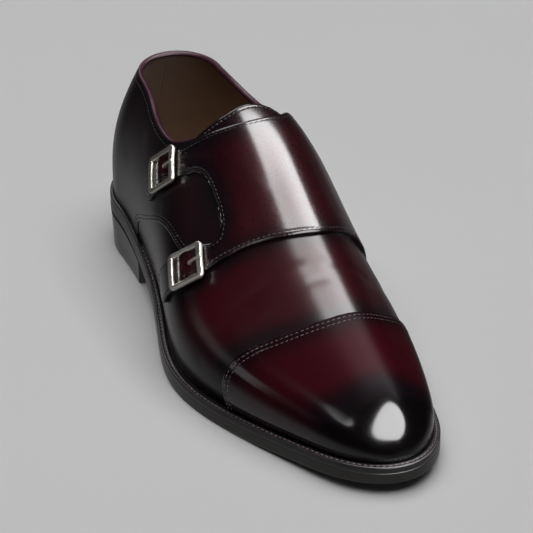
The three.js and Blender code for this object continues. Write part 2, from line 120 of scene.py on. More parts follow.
def lastPoint(station, t):
    # points of the last in millimetres, one for each pair of station and place across
    station, t = np.broadcast_arrays(np.asarray(station, float), np.asarray(t, float))
    weights = sectionWeights(t)
    c = {name: curve(np.maximum(station - 1, 0)) for name, curve in column.items()}
    height = c["top"] - c["foot"]
    lat = c["foot"] + c["shoulderLat"] * height
    med = c["foot"] + c["shoulderMed"] * height
    low = c["foot"] + last["lowShare"] * height
    mid = c["foot"] + last["midShare"] * height
    crown = (6 * c["top"] - lat - med) / 4
    xs = (-c["footLat"], -c["wideLat"], -c["wideLat"], -c["wideLat"] * c["fullLat"], c["ridge"] - c["axis"],
          c["wideMed"] * c["fullMed"], c["wideMed"], c["wideMed"], c["footMed"])
    zs = (c["foot"], low, mid, lat, crown, med, mid, low, c["foot"])
    x = sum(weight * value for weight, value in zip(weights, xs))
    z = sum(weight * value for weight, value in zip(weights, zs))
    half = last["heelWide"] - last["heelLean"]
    reach = (last["heelFoot"], last["heelWide"], half, half * last["heelFull"], 0)
    back = sum(weight * value for weight, value in zip(weights, reach + reach[3::-1]))
    turn = np.clip(station, 0, 1) * math.pi / 2
    atHeel = station < 1
    sideways = np.where(atHeel, x * np.sin(turn), x + c["axis"])
    along = np.where(atHeel, c["s"] - back * np.cos(turn), c["s"])
    return np.stack([sideways - last["widthMiddle"], last["lengthMiddle"] - along, z], axis=-1)


def pathLengths(points):
    # length from the first point to each
    return np.append(0, np.cumsum(np.linalg.norm(np.diff(points, axis=0), axis=1)))


def rowsAt(places, known, rows):
    # rows of a table at some places between the known ones
    return np.stack([np.interp(places, known, rows[:, i]) for i in range(rows.shape[1])], axis=-1)


def unit(vectors):
    return vectors / np.maximum(np.linalg.norm(vectors, axis=-1, keepdims=True), 1e-9)


step = 1e-3  # a small move in station or across, for directions on the last


def lengthwise(station, t):
    return lastPoint(np.minimum(station + step, toeEnd), t) - lastPoint(np.maximum(station - step, 0), t)


def surfaceNormal(station, t):
    station, t = np.broadcast_arrays(np.asarray(station, float), np.asarray(t, float))
    along = lengthwise(station, t)
    over = lastPoint(station, np.minimum(t + step, 1)) - lastPoint(station, np.maximum(t - step, 0))
    normal = np.cross(along, over)
    normal[..., 0] = np.where(station < step, 0, normal[..., 0])
    atTip = (station > toeEnd - step)[..., None]
    return unit(np.where(atTip, np.array([0.0, -1.0, 0.0]), normal))


def footHeight(station):
    return column["foot"](np.maximum(np.asarray(station, float) - 1, 0))


def alongFoot(station):
    # distance along the foot for a station, the other way round from stationAt
    return np.where(station < 1, station * lastRows[0][0], column["s"](np.maximum(station - 1, 0)))


def surfacePoint(station, t, offset):
    # the last's surface moved outwards, never lower than the welt's top face
    point = lastPoint(station, t) + surfaceNormal(station, t) * np.asarray(offset, float)[..., None]
    point[..., 2] = np.maximum(point[..., 2], footHeight(station) - 0.2)
    return point


denseKnots = np.linspace(0, len(lastRows) - 1, 2000)
denseS = column["s"](denseKnots)


def stationAt(s):
    # station for a distance along the foot; less than the first section's is round the heel
    s = np.asarray(s, float)
    first = lastRows[0][0]
    return np.where(s < first, np.clip(s / first, 0, 1), 1 + np.interp(s, denseS, denseKnots))


def featherPoint(station, side, offset):
    # the feather edge moved outwards in plan; side -1 is lateral and 1 medial
    station, side, offset = np.broadcast_arrays(*(np.asarray(v, float) for v in (station, side, offset)))
    t = np.where(side < 0, 0.0, 1.0)
    along = lengthwise(station, t)
    along[..., 0] = np.where(station < step, side, np.where(station > toeEnd - step, -side, along[..., 0]))
    along[..., 1] = np.where((station < step) | (station > toeEnd - step), 0, along[..., 1])
    outward = unit(np.stack([along[..., 1], -along[..., 0], 0 * station], axis=-1))
    outward = outward * np.where(side < 0, 1, -1)[..., None]
    return lastPoint(station, t) + outward * offset[..., None]


def bothSides(stations):
    # stations forwards on the outer side and back on the inner one, with the side of each
    sides = np.concatenate([-np.ones(len(stations)), np.ones(len(stations) - 1)])
    return np.concatenate([stations, stations[-2::-1]]), sides


def soleMargin(station):
    return last["wall"] + column["margin"](np.maximum(np.asarray(station, float) - 1, 0))


def evenly(pairs, offset=2.0):
    # curves on the last are pairs of station and place across; this gives one as a
    # function of a share 0..1, at an even pace in real length
    pairs = np.asarray(pairs, float)
    points = surfacePoint(pairs[:, 0], pairs[:, 1], offset)
    lengths = pathLengths(points)
    shares = lengths / lengths[-1]

    def curve(share):
        return rowsAt(np.asarray(share, float), shares, pairs)
    curve.length = lengths[-1]
    return curve


def route(points, count=240):
    # smooth curve through listed points, given as distance along the foot and place across
    stations = stationAt([s for s, across in points])
    acrosses = [across for s, across in points]
    if len(points) == 2:
        share = np.linspace(0, 1, count)
        pairs = [np.interp(share, (0, 1), values) for values in (stations, acrosses)]
        return evenly(np.stack(pairs, axis=-1))
    knots = np.linspace(0, len(points) - 1, count)
    pairs = [columnCurve(values)(knots) for values in (stations, acrosses)]
    return evenly(np.stack(pairs, axis=-1))


def joined(*curves):
    # several curves one after the other
    share = np.linspace(0, 1, 160)
    return evenly(np.concatenate([curve(share) for curve in curves]))


def part(curve, start, end):
    share = np.linspace(start, end, 240)
    return evenly(curve(share))


collarRows = [(-12, 101), (8, 100.5), (30, 99), (50, 96.5), (64, 92.5), (77, 89.5), (90, 88.5), (99, 90),
              (108, 94.5), (114, 101), (118, 110)]
collarKnots = np.linspace(0, len(collarRows) - 1, 400)
collarS = columnCurve([s for s, z in collarRows])(collarKnots)
collarZ = columnCurve([z for s, z in collarRows])(collarKnots)


def collarCurve(side, endS):
    # the collar's edge on one side, from the back of the heel forwards
    stations = np.concatenate([np.linspace(0, 1, 80), np.linspace(1, float(stationAt(endS)), 160)[1:]])
    low = np.full(stations.shape, 0.5 if side > 0 else 0.02)
    high = np.full(stations.shape, 0.98 if side > 0 else 0.5)
    for halving in range(30):
        middle = (low + high) / 2
        point = surfacePoint(stations, middle, 1.0)
        above = point[:, 2] > np.interp(last["lengthMiddle"] - point[:, 1], collarS, collarZ)
        goDown = above if side < 0 else ~above
        high = np.where(goDown, middle, high)
        low = np.where(goDown, low, middle)
    return evenly(np.stack([stations, (low + high) / 2], axis=-1))


def coons(bottom, top, left, right, u, v):
    # pairs inside four edge curves that meet at their ends
    one = u[:, None]
    two = v[:, None]
    corners = [bottom(0), bottom(1), top(0), top(1)]
    flat = (1 - one) * (1 - two) * corners[0] + one * (1 - two) * corners[1]
    flat = flat + (1 - one) * two * corners[2] + one * two * corners[3]
    return (1 - two) * bottom(u) + two * top(u) + (1 - one) * left(v) + one * right(v) - flat


def smooth(value):
    value = np.clip(value, 0, 1)
    return value * value * (3 - 2 * value)


def crowded(share, amount):
    # brings grid lines closer together towards both ends
    return share - amount * np.sin(2 * np.pi * share) / (2 * np.pi)


class Flow:
    # a shader value that can stand in a sum
    def __init__(self, nodes, socket):
        self.nodes = nodes
        self.socket = socket

    def maths(self, operation, first, second):
        node = self.nodes.node("ShaderNodeMath", {"operation": operation}, {0: first, 1: second})
        return Flow(self.nodes, node.outputs[0])

    def __add__(self, other):
        return self.maths("ADD", self, other)

    def __sub__(self, other):
        return self.maths("SUBTRACT", self, other)

    def __rsub__(self, other):
        return self.maths("SUBTRACT", other, self)

    def __mul__(self, other):
        return self.maths("MULTIPLY", self, other)

    __radd__ = __add__
    __rmul__ = __mul__

    def clamped(self):
        node = self.nodes.node("ShaderNodeClamp", {}, {"Value": self})
        return Flow(self.nodes, node.outputs[0])


class Nodes:
    # the nodes of a material or of the room, all added by one method
    def __init__(self, owner):
        owner.use_nodes = True
        self.tree = owner.node_tree
        self.tree.nodes.clear()

    def node(self, kind, settings, inputs):
        node = self.tree.nodes.new(kind)
        for key, value in settings.items():
            if key == "stops":
                while len(node.color_ramp.elements) < len(value):
                    node.color_ramp.elements.new(0.5)
                for element, (position, colour) in zip(node.color_ramp.elements, value):
                    element.position = position
                    element.color = (*colour, 1)
            else:
                setattr(node, key, value)
        for key, value in inputs.items():
            socket = node.inputs[key]
            if isinstance(value, Flow):
                self.tree.links.new(value.socket, socket)
            elif isinstance(value, bpy.types.NodeSocket):
                self.tree.links.new(value, socket)
            elif socket.type == "RGBA" and len(value) == 3:
                socket.default_value = (*value, 1)
            else:
                socket.default_value = value
        return node

    def ramp(self, value, stops):
        return self.node("ShaderNodeValToRGB", {"stops": stops}, {"Fac": value}).outputs["Color"]


class Finish(Nodes):
    # one material
    def __init__(self, name, **constants):
        self.material = bpy.data.materials.new(name)
        super().__init__(self.material)
        self.shader = self.node("ShaderNodeBsdfPrincipled", {}, constants)
        self.node("ShaderNodeOutputMaterial", {"target": "ALL"}, {"Surface": self.shader.outputs[0]})
        self.place = self.node("ShaderNodeTexCoord", {}, {}).outputs["Object"]

    def noise(self, scale, detail=3, roughness=0.55, stretch=(1, 1, 1)):
        mapping = self.node("ShaderNodeMapping", {}, {"Vector": self.place, "Scale": stretch})
        settings = {"Vector": mapping.outputs[0], "Scale": scale, "Detail": detail, "Roughness": roughness}
        return Flow(self, self.node("ShaderNodeTexNoise", {}, settings).outputs[0])

    def pores(self, scale):
        settings = {"Vector": self.place, "Scale": scale}
        node = self.node("ShaderNodeTexVoronoi", {"feature": "DISTANCE_TO_EDGE"}, settings)
        return Flow(self, node.outputs["Distance"])

    def attribute(self, name):
        return Flow(self, self.node("ShaderNodeAttribute", {"attribute_name": name}, {}).outputs["Fac"])

    def set(self, name, value):
        socket = self.shader.inputs[name]
        self.tree.links.new(value.socket if isinstance(value, Flow) else value, socket)

    def bump(self, height, distance):
        node = self.node("ShaderNodeBump", {}, {"Height": height, "Distance": distance, "Strength": 1.0})
        self.tree.links.new(node.outputs[0], self.shader.inputs["Normal"])


leather = {
    "burnish": [(0.0, (0.042, 0.0011, 0.0052)), (0.40, (0.0150, 0.0012, 0.0034)),
                (0.72, (0.0058, 0.0015, 0.0040)), (1.0, (0.0030, 0.0014, 0.0025))],  # wine to near black
    "grain": 1500, "pore": 900, "brush": 150,  # scales of the noises
}


def calf(name, roughness, coat, coatRoughness, grainDepth, **constants):
    # hand-burnished calf; patina is 0 in the wine-red middle and 1 at the black edges, shine the wax polish
    finish = Finish(name, **{"Coat Roughness": coatRoughness, "Coat IOR": 1.45, "IOR": 1.36, **constants})
    cloud = finish.noise(26, 4, 0.6)
    streak = finish.noise(leather["brush"], 3, 0.6, (1, 0.25, 1))
    burn = (finish.attribute("patina") + (cloud - 0.5) * 0.42 + (streak - 0.5) * 0.16).clamped()
    finish.set("Base Color", finish.ramp(burn, leather["burnish"]))
    grain = finish.noise(leather["grain"], 2, 0.5)
    fine = finish.noise(leather["brush"] * 3, 3, 0.6, (1, 0.4, 1))
    shine = finish.attribute("shine")
    dull = (1 - shine) * 0.15
    finish.set("Roughness", (roughness + dull + (grain - 0.5) * 0.10 + (fine - 0.5) * 0.12).clamped())
    finish.set("Coat Weight", ((coat + (cloud - 0.5) * 0.2) * shine).clamped())
    pore = finish.pores(leather["pore"])
    finish.bump(grain * 0.5 + fine * 0.7 + pore * 0.15, grainDepth)
    return finish.material


def plainFinish(name, colours, roughness, scale, depth, stretch=(1, 1, 1), **constants):
    # one colour run into another by a noise, with the same noise in gloss and bump
    finish = Finish(name, **constants)
    broad = finish.noise(scale, 4, 0.6, stretch)
    fine = finish.noise(scale * 9, 3, 0.6, stretch)
    finish.set("Base Color", finish.ramp(broad, [(0.3, colours[0]), (0.7, colours[1])]))
    finish.set("Roughness", (roughness + (fine - 0.5) * 0.2 + (broad - 0.5) * 0.12).clamped())
    finish.bump(fine * 0.6 + broad * 0.4, depth)
    return finish.material


waxed = {"IOR": 1.42, "Coat Weight": 0.4, "Coat Roughness": 0.2, "Coat IOR": 1.45}
finishes = {
    "vamp": calf("vampCalf", 0.31, 0.62, 0.23, 0.0001, **{"IOR": 1.18}),
    "flap": calf("flapCalf", 0.29, 0.95, 0.185, 0.00002, **{"IOR": 1.24}),
    "cap": calf("capCalf", 0.22, 1.0, 0.13, 0.000006, **{"IOR": 1.12, "Coat IOR": 1.6}),
    "quarter": calf("quarterCalf", 0.33, 0.5, 0.22, 0.00002, **{"IOR": 1.3}),
    "binding": plainFinish("bindingCalf", ((0.030, 0.006, 0.014), (0.060, 0.012, 0.028)), 0.35, 60, 0.00002,
                           **{"IOR": 1.3}),
    "lining": plainFinish("liningCalf", ((0.20, 0.115, 0.062), (0.30, 0.18, 0.10)), 0.62, 30, 0.00003),
    "sock": plainFinish("sockCalf", ((0.26, 0.155, 0.085), (0.36, 0.22, 0.125)), 0.58, 34, 0.00003),
    "edge": plainFinish("soleEdge", ((0.016, 0.0145, 0.013), (0.028, 0.025, 0.022)), 0.40, 90, 0.00002,
                        (0.3, 0.3, 2.5), **{**waxed, "Coat Weight": 0.3, "Coat Roughness": 0.25}),
    "welt": plainFinish("weltTop", ((0.010, 0.008, 0.009), (0.020, 0.016, 0.017)), 0.42, 120, 0.00003,
                        **waxed),
    "heel": plainFinish("heelStack", ((0.010, 0.0095, 0.009), (0.018, 0.017, 0.016)), 0.36, 60, 0.00002,
                        (0.3, 0.3, 3), **waxed),
    "rawEdge": plainFinish("rawEdge", ((0.17, 0.075, 0.032), (0.26, 0.12, 0.05)), 0.6, 300, 0.00003),
    "weltThread": plainFinish("weltThread", ((0.15, 0.085, 0.085), (0.26, 0.165, 0.16)), 0.5, 400, 0.00003),
    "darkThread": plainFinish("darkThread", ((0.012, 0.006, 0.009), (0.030, 0.016, 0.020)), 0.38, 400,
                              0.00003),
    "paleThread": plainFinish("paleThread", ((0.060, 0.040, 0.046), (0.13, 0.09, 0.10)), 0.42, 400, 0.00003),
    "nickel": plainFinish("warmNickel", ((0.56, 0.53, 0.48), (0.66, 0.62, 0.57)), 0.36, 200, 0.00001,
                          **{"Metallic": 1.0}),
}


def newPiece(name, bm, look, replaces=()):
    # turns a bmesh in metres into a piece of the shoe
    bmesh.ops.remove_doubles(bm, verts=bm.verts, dist=0.01 * mm)
    mesh = bpy.data.meshes.new(name)
    bm.to_mesh(mesh)
    bm.free()
    piece = bpy.data.objects.new(name, mesh)
    bpy.context.collection.objects.link(piece)
    mesh.materials.append(finishes[look])
    mesh.polygons.foreach_set("use_smooth", [True] * len(mesh.polygons))
    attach(piece, "root")
    if replaces:
        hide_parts(*replaces)
    return piece


def solidified(piece, thickness, rim=0.25, segments=2):
    # thickness goes inwards; the cut edges are rounded
    solid = piece.modifiers.new("wall", "SOLIDIFY")
    solid.thickness = thickness * mm
    solid.offset = -1
    if rim:
        bevel = piece.modifiers.new("rim", "BEVEL")
        bevel.width = rim * mm
        bevel.segments = segments
        bevel.limit_method = "ANGLE"
        bevel.angle_limit = math.radians(50)


def edgeDistance(points, curves, offset):
    # how far points in millimetres lie from the nearest of some curves on the last
    nearest = np.full(len(points), 1e3)
    for curve in curves:
        pairs = curve(np.linspace(0, 1, max(int(curve.length / 1.2), 8)))
        samples = surfacePoint(pairs[:, 0], pairs[:, 1], offset)
        for chunk in range(0, len(points), 4000):
            block = points[chunk:chunk + 4000]
            gap = np.linalg.norm(block[:, None] - samples[None], axis=2).min(axis=1)
            nearest[chunk:chunk + 4000] = np.minimum(nearest[chunk:chunk + 4000], gap)
    return nearest


# glow: a red place in the burnish; its middle (s, across), its reach along in mm and across, its strength
glows = [
    (152, 0.450, 44, 0.080, 0.48),
    (148, 0.610, 50, 0.100, 0.80),
    (128, 0.300, 24, 0.05, 0.15),
    (199, 0.400, 30, 0.24, 0.66),
    (201, 0.640, 32, 0.20, 0.66),
    (190, 0.230, 22, 0.10, 0.25),
    (241, 0.350, 16, 0.16, 0.62),
    (248, 0.500, 18, 0.16, 0.50),
    (250, 0.680, 24, 0.14, 0.55),
    (138, 0.270, 26, 0.08, 0.22),
    (60, 0.280, 26, 0.10, 0.22),
    (104, 0.275, 7, 0.03, 0.55),
    (162, 0.258, 7, 0.03, 0.60),
    (120, 0.780, 40, 0.11, 0.50),
    (60, 0.760, 30, 0.12, 0.28),
]
# crease: a soft trough (depth above 0) or ridge from one place to another, its half width and its depth in mm
creases = [
    ((196, 0.30), (201, 0.46), 3.2, 0.16),
    ((203, 0.52), (200, 0.70), 3.4, 0.18),
    ((208, 0.34), (211, 0.50), 3.0, -0.10),
    ((196, 0.72), (190, 0.84), 4.0, 0.22),
    ((194, 0.12), (200, 0.24), 4.5, 0.22),
    ((150, 0.405), (176, 0.425), 4.0, 0.20),
    ((132, 0.42), (160, 0.455), 3.0, -0.12),
    ((128, 0.60), (165, 0.625), 5.0, 0.16),
    ((120, 0.36), (134, 0.40), 3.0, 0.14),
    ((52, 0.16), (64, 0.22), 7.0, 0.30),
    ((112, 0.20), (128, 0.26), 5.0, 0.22),
    ((60, 0.82), (75, 0.78), 7.0, 0.30),
]
# dark burnish: from where the toe's starts and over what length, and how far in each side's reaches
toeBurn = {"start": 255, "over": 26, "strength": 0.9}
sideBurn = {"reach": 0.13, "outer": 0.35, "inner": 0.25}


def patina(s, t, points, edges, offset, settings):
    # how burnished the leather is: 0 wine red, 1 black
    burn = np.full(len(s), settings.get("base", 0.72))
    for middle, across, along, over, strength in glows:
        reach = ((s - middle) / along) ** 2 + ((t - across) / over) ** 2
        burn = burn - strength * np.exp(-reach)
    burn = np.maximum(burn, 0)
    toe = toeBurn["strength"] * smooth((s - toeBurn["start"]) / toeBurn["over"])
    reach = sideBurn["reach"]
    outer = sideBurn["outer"] * smooth((reach - t) / reach)
    inner = sideBurn["inner"] * smooth((t - (1 - reach)) / reach)
    burn = burn + toe + (outer + inner)
    if edges:
        away = edgeDistance(points, edges, offset) / settings.get("edgeReach", 7.0)
        burn = burn + settings.get("edgeStrength", 0.55) * np.exp(-away ** 2)
    return np.clip(burn, 0, 1.2)


def creaseDepth(points):
    depth = np.zeros(len(points))
    for start, end, width, deep in creases:
        away = edgeDistance(points, [route([start, end])], 2.5)
        depth = depth + deep * np.exp(-(away / width) ** 2)
    return depth


def panelGrid(cells, crowd=(0.5, 0.5)):
    # a bmesh grid with its vertices' two shares
    bm = bmesh.new()
    bmesh.ops.create_grid(bm, x_segments=cells[0], y_segments=cells[1], size=0.5)
    flat = np.array([vertex.co[:2] for vertex in bm.verts]) + 0.5
    return bm, crowded(flat[:, 0], crowd[0]), crowded(flat[:, 1], crowd[1])


def layLeather(bm, pairs, settings):
    # moves a grid on to the last, with its edges turned down, furrows under its stitches and its patina
    station, t = pairs[:, 0], pairs[:, 1]
    outer = settings["outer"]
    level = outer(station, t) if callable(outer) else np.full(len(station), float(outer))
    points = surfacePoint(station, t, level)
    free = settings.get("freeEdges", [])
    if free:
        away = edgeDistance(points, free, float(np.mean(level)))
        roll = settings.get("roll", 0.3)
        level = level - roll * (1 - smooth(away / settings.get("rollWidth", 1.2)))
        for row in settings.get("rows", ()):
            level = level - 0.10 * np.exp(-((away - row) / 0.45) ** 2)
    level = level - creaseDepth(points)
    if "raise" in settings:
        level = level + settings["raise"](points)
    points = surfacePoint(station, t, level)
    s = alongFoot(station)
    burn = patina(s, t, points, settings.get("burnEdges", free), float(np.mean(level)), settings)
    shine = settings["shine"](s, t) if "shine" in settings else np.ones(len(s))
    layer = bm.verts.layers.float.new("patina")
    shineLayer = bm.verts.layers.float.new("shine")
    for vertex, point, value, gloss in zip(bm.verts, points * mm, burn, shine):
        vertex.co = point
        vertex[layer] = value
        vertex[shineLayer] = gloss
    bmesh.ops.recalc_face_normals(bm, faces=bm.faces)
    turnOutwards(bm)


def turnOutwards(bm):
    # an open sheet faces away from the middle of the shoe
    middle = Vector((-last["widthMiddle"] * mm, 0, 0.02))
    total = 0.0
    for face in bm.faces:
        centre = face.calc_center_median()
        away = centre - Vector((middle.x, centre.y * 0.92, middle.z))
        total += face.normal.dot(away) * face.calc_area()
    if total < 0:
        bmesh.ops.reverse_faces(bm, faces=bm.faces)


def laidPanel(name, bm, pairs, settings, look, replaces):
    layLeather(bm, pairs, settings)
    piece = newPiece(name, bm, look, replaces)
    solidified(piece, settings["thickness"], settings.get("rim", 0.25))


def panel(name, settings, look, replaces=()):
    # a panel between four edge curves
    bm, u, v = panelGrid(settings["cells"], settings.get("crowd", (0.5, 0.5)))
    edges = settings["edges"]
    pairs = coons(edges["bottom"], edges["top"], edges["left"], edges["right"], u, v)
    laidPanel(name, bm, pairs, settings, look, replaces)


def acrossPanel(name, settings, look, replaces=()):
    # a panel with a back and a front edge for each place across
    bm, u, v = panelGrid(settings["cells"], settings.get("crowd", (0.5, 0.5)))
    first, end = settings["across"]
    t = first + (end - first) * u
    back, front = settings["back"](t), settings["front"](t)
    station = stationAt(back) * (1 - v) + stationAt(front) * v
    laidPanel(name, bm, np.stack([station, t], axis=-1), settings, look, replaces)


def tableCurve(rows, place):
    # a table's column as a curve of its first column
    firsts = [row[0] for row in rows]
    curve = columnCurve([row[place] for row in rows])
    knots = np.arange(len(rows))
    return lambda value: curve(np.interp(value, firsts, knots))


def straightAt(s):
    # an edge straight across the foot
    return lambda t: np.full(np.shape(t), float(s))


def heelLine(foot, collar):
    # up the middle of the heel, from the sole to the collar
    return evenly(np.stack([np.zeros(80), np.linspace(foot, float(collar(0)[1]), 80)], axis=-1))


def stitches(name, curve, settings, look):
    # one mesh of small beads of thread, each on the leather along the curve
    bm = bmesh.new()
    pitch = settings["pitch"]
    count = int(curve.length / pitch)
    shares = (np.arange(count) + 0.5) / count
    pairs = curve(shares)
    ahead = curve(np.minimum(shares + 0.2 / count, 1))
    level = settings["level"]
    level = level(pairs[:, 0], pairs[:, 1]) if callable(level) else np.full(count, float(level))
    points = surfacePoint(pairs[:, 0], pairs[:, 1], level)
    if "raise" in settings:
        points = surfacePoint(pairs[:, 0], pairs[:, 1], level + settings["raise"](points))
    if "drop" in settings:
        keep = settings["drop"](points)
        points, pairs, ahead, level = points[keep], pairs[keep], ahead[keep], level[keep]
    nextPoints = surfacePoint(ahead[:, 0], ahead[:, 1], level)
    normals = surfaceNormal(pairs[:, 0], pairs[:, 1])
    addBeads(bm, points, nextPoints - points, normals, settings)
    return newPiece(name, bm, look)


def addBeads(bm, points, directions, normals, settings):
    size = Matrix.Diagonal((settings["length"] * mm, settings["width"] * mm, settings["height"] * mm, 1))
    slant = Matrix.Rotation(math.radians(settings.get("slant", 0)), 4, "Z")
    for point, direction, normal in zip(points, directions, normals):
        up = Vector(normal).normalized()
        along = Vector(direction)
        along = (along - up * along.dot(up)).normalized()
        side = up.cross(along)
        turn = Matrix((along, side, up)).transposed().to_4x4()
        place = Matrix.Translation(Vector(point) * mm) @ turn @ slant @ size
        bmesh.ops.create_uvsphere(bm, u_segments=6, v_segments=4, radius=0.5, matrix=place)


def inset(curve, distance, side, level=2.7):
    # a curve beside another, moved over the leather by a distance
    share = np.linspace(0, 1, 200)
    pairs = curve(share)
    points = surfacePoint(pairs[:, 0], pairs[:, 1], level)
    ahead = np.gradient(points, axis=0)
    over = unit(np.cross(surfaceNormal(pairs[:, 0], pairs[:, 1]), ahead)) * side * distance
    along = surfacePoint(pairs[:, 0] + step, pairs[:, 1], level) - points
    across = surfacePoint(pairs[:, 0], np.minimum(pairs[:, 1] + step, 1), level) - points
    moved = []
    for shift, first, second in zip(over, along, across):
        answer, *rest = np.linalg.lstsq(np.stack([first, second], axis=-1), shift, rcond=None)
        moved.append(answer * step)
    return evenly(pairs + np.array(moved))


print("tools ready")
# how far each layer's outer face lies from the last, in mm
layers = {
    "lining": 0.84, "vamp": 2.0, "quarter": 2.7, "cap": 3.2, "flap": 4.2, "tab": 4.1, "tongue": 1.9,
}
# where each buckle lies, the place in front that it points to, and the tip of its tab
fasteners = [
    {"name": "upper", "s": 103.3, "across": 0.268, "frontS": 111.5, "frontAcross": 0.32,
     "tabS": 87, "tabAcross": 0.165},
    {"name": "lower", "s": 160.5, "across": 0.252, "frontS": 166.5, "frontAcross": 0.308,
     "tabS": 141, "tabAcross": 0.1},
]
buckle = {
    "along": 21, "across": 20, "bar": 2.9, "frontBar": 3.4, "height": 2.0, "corner": 2.7, "lift": 0.75,
    "hump": 2.6, "humpReach": 6.6, "overlay": 4.1,
}


def fastenerAxes(fastener):
    # middle on the leather, along the strap towards the instep, across it, and outwards; millimetres
    station = stationAt(fastener["s"])
    middle = surfacePoint(station, fastener["across"], buckle["overlay"])
    outward = unit(middle - surfacePoint(station, fastener["across"], 0))
    along = surfacePoint(stationAt(fastener["frontS"]), fastener["frontAcross"], buckle["overlay"]) - middle
    along = unit(along - outward * np.dot(along, outward))
    return middle, along, np.cross(outward, along), outward


def seenFrom(fastener, points):
    # how far points lie along, across and above a buckle's middle
    middle, *axes = fastenerAxes(fastener)
    return [(points - middle) @ axis for axis in axes]


def strapHump(points):
    # extra height where a strap passes over the middle bar of its buckle
    rise = np.zeros(len(points))
    for fastener in fasteners:
        x, y, z = seenFrom(fastener, points)
        inside = smooth((buckle["across"] / 2 + 3 - np.abs(y)) / 2)
        near = (np.abs(z) < 9) & (np.abs(x) < 14)
        bow = np.cos(np.clip(y / buckle["across"], -0.5, 0.5) * math.pi * 0.45)
        rise = rise + near * inside * buckle["hump"] * bow * np.exp(-(x / buckle["humpReach"]) ** 2)
    return rise


capRow = {"side": 213, "reach": 18, "power": 4.5}


def capLine(t):
    return capRow["side"] + capRow["reach"] * np.sin(np.pi * np.clip(t, 0, 1)) ** capRow["power"]


def capCurve(shift):
    t = np.linspace(0, 1, 200)
    return evenly(np.stack([stationAt(capLine(t) + shift), t], axis=-1), 3.0)


collarEnd = {"lateral": 112, "medial": 97.6}  # where each side of the collar meets the flap
latCollar = collarCurve(-1, collarEnd["lateral"])
medCollar = collarCurve(1, collarEnd["medial"])
latTop = float(latCollar(1)[1])
flapStart = float(medCollar(1)[1])  # across, where the flap's top meets the inner collar
latSeam = route([(68.2, 0), (70.5, 0.028), (75.5, 0.055), (90.6, 0.097), (105, 0.142), (118.7, 0.187),
                 (131, 0.214), (143.6, 0.232), (158, 0.262)])
seamTurn = (106, 0.896)  # where the inner seam turns up towards the flap
medSeamLow = route([(85, 1), (84.5, 0.965), (88, 0.925), (96, 0.903), seamTurn])
medSeamHigh = route([seamTurn, (120, 0.893), (135, 0.888), (148, 0.883), (160, 0.876)])
# the flap's back and front edges for each place across
flapRows = [
    (0.20, 85.5, 163.5), (0.25, 92.5, 168), (0.327, 105, 172), (0.39, 114.5, 178), (0.45, 123, 184.5),
    (0.51, 126.5, 188), (0.577, 121, 185), (0.63, 111, 179), (0.665, 104.5, 175),
    (flapStart, collarEnd["medial"], 171.5),
]
# the rounded notch between the straps, as far as its root
notchRoot = 0.368
notchRows = [
    (0.20, 100.5, 147.5), (0.25, 107, 150.5), (0.313, 117.5, 158.5), (0.345, 124, 162.5), (0.358, 128.5, 160),
    (0.365, 133, 156), (notchRoot, 139.5, 149.5),
]
flapBack, flapFront = tableCurve(flapRows, 1), tableCurve(flapRows, 2)
notchBack, notchFront = tableCurve(notchRows, 1), tableCurve(notchRows, 2)


def edgeOf(edge, first, end):
    t = np.linspace(first, end, 200)
    return evenly(np.stack([stationAt(edge(t)), t], axis=-1), 4.0)


strapFirst = flapRows[0][0]
flapTop = edgeOf(flapBack, strapFirst, flapStart)
flapLow = edgeOf(flapFront, strapFirst, flapStart)
notchTop = edgeOf(notchBack, strapFirst, notchRoot)
notchLow = edgeOf(notchFront, strapFirst, notchRoot)
notchEnd = route([(139.5, notchRoot), (149.5, notchRoot)])
flapLowMed = route([(171.5, flapStart), (169.3, 0.765), (167.2, 0.80), (164.6, 0.84), (160, 0.876)])


def flapLevel(station, t):
    # the inner quarter lies on the lining and climbs over tongue and outer quarter as the flap
    s = column["s"](np.maximum(station - 1, 0))
    share = smooth((0.90 - t) / 0.20) * smooth((s - 78) / 20)
    return layers["quarter"] + (layers["flap"] - layers["quarter"]) * share


def makeUpper():
    vampBack = tableCurve([(0, 64), (0.06, 72), (0.12, 90), (0.2, 116), (0.3, 142), (0.4, 150), (0.6, 150),
                           (0.7, 148), (0.8, 140), (0.87, 104), (0.93, 84), (1, 80)], 1)
    acrossPanel("vamp", {
        "across": (0, 1), "back": vampBack, "front": lambda t: capLine(t) + 6, "cells": (230, 130),
        "crowd": (0.1, 0.1), "outer": layers["vamp"], "thickness": 1.1, "rim": 0,
        "burnEdges": [capCurve(-1), part(flapLow, 0, 1), flapLowMed, latSeam, medSeamHigh], "edgeReach": 6.5,
        "edgeStrength": 0.5, "base": 0.66,
    }, "vamp")
    bm, u, v = panelGrid((200, 110), (0.5, 0.55))
    laidPanel("quarterLateral", bm, quarterPairs(u, v), {
        "outer": layers["quarter"], "thickness": 1.7, "freeEdges": [latSeam], "roll": 0.35,
        "rows": (1.7, 3.4), "burnEdges": [latSeam, latCollar, notchEnd], "edgeReach": 6,
        "edgeStrength": 0.35, "base": 0.80,
    }, "quarter", ("upper",))
    makeFlap()


def quarterPairs(u, v):
    # from the middle of the heel forwards, and from the sole or the seam up to the collar or under the flap
    heelShare = 0.26
    first, end = lastRows[0][0], 168
    station = np.where(u < heelShare, u / heelShare,
                       stationAt(first + (end - first) * (u - heelShare) / (1 - heelShare)))
    share = np.linspace(0, 1, 400)
    seam = joined(latSeam, route([(158, 0.262), (end, 0.29)]))(share)
    top = joined(latCollar, route([(collarEnd["lateral"], latTop), (135, 0.42), (end, 0.40)]))(share)
    low = np.interp(station, seam[:, 0], seam[:, 1], left=0)
    high = np.interp(station, top[:, 0], top[:, 1])
    return np.stack([station, low + (high - low) * v], axis=-1)


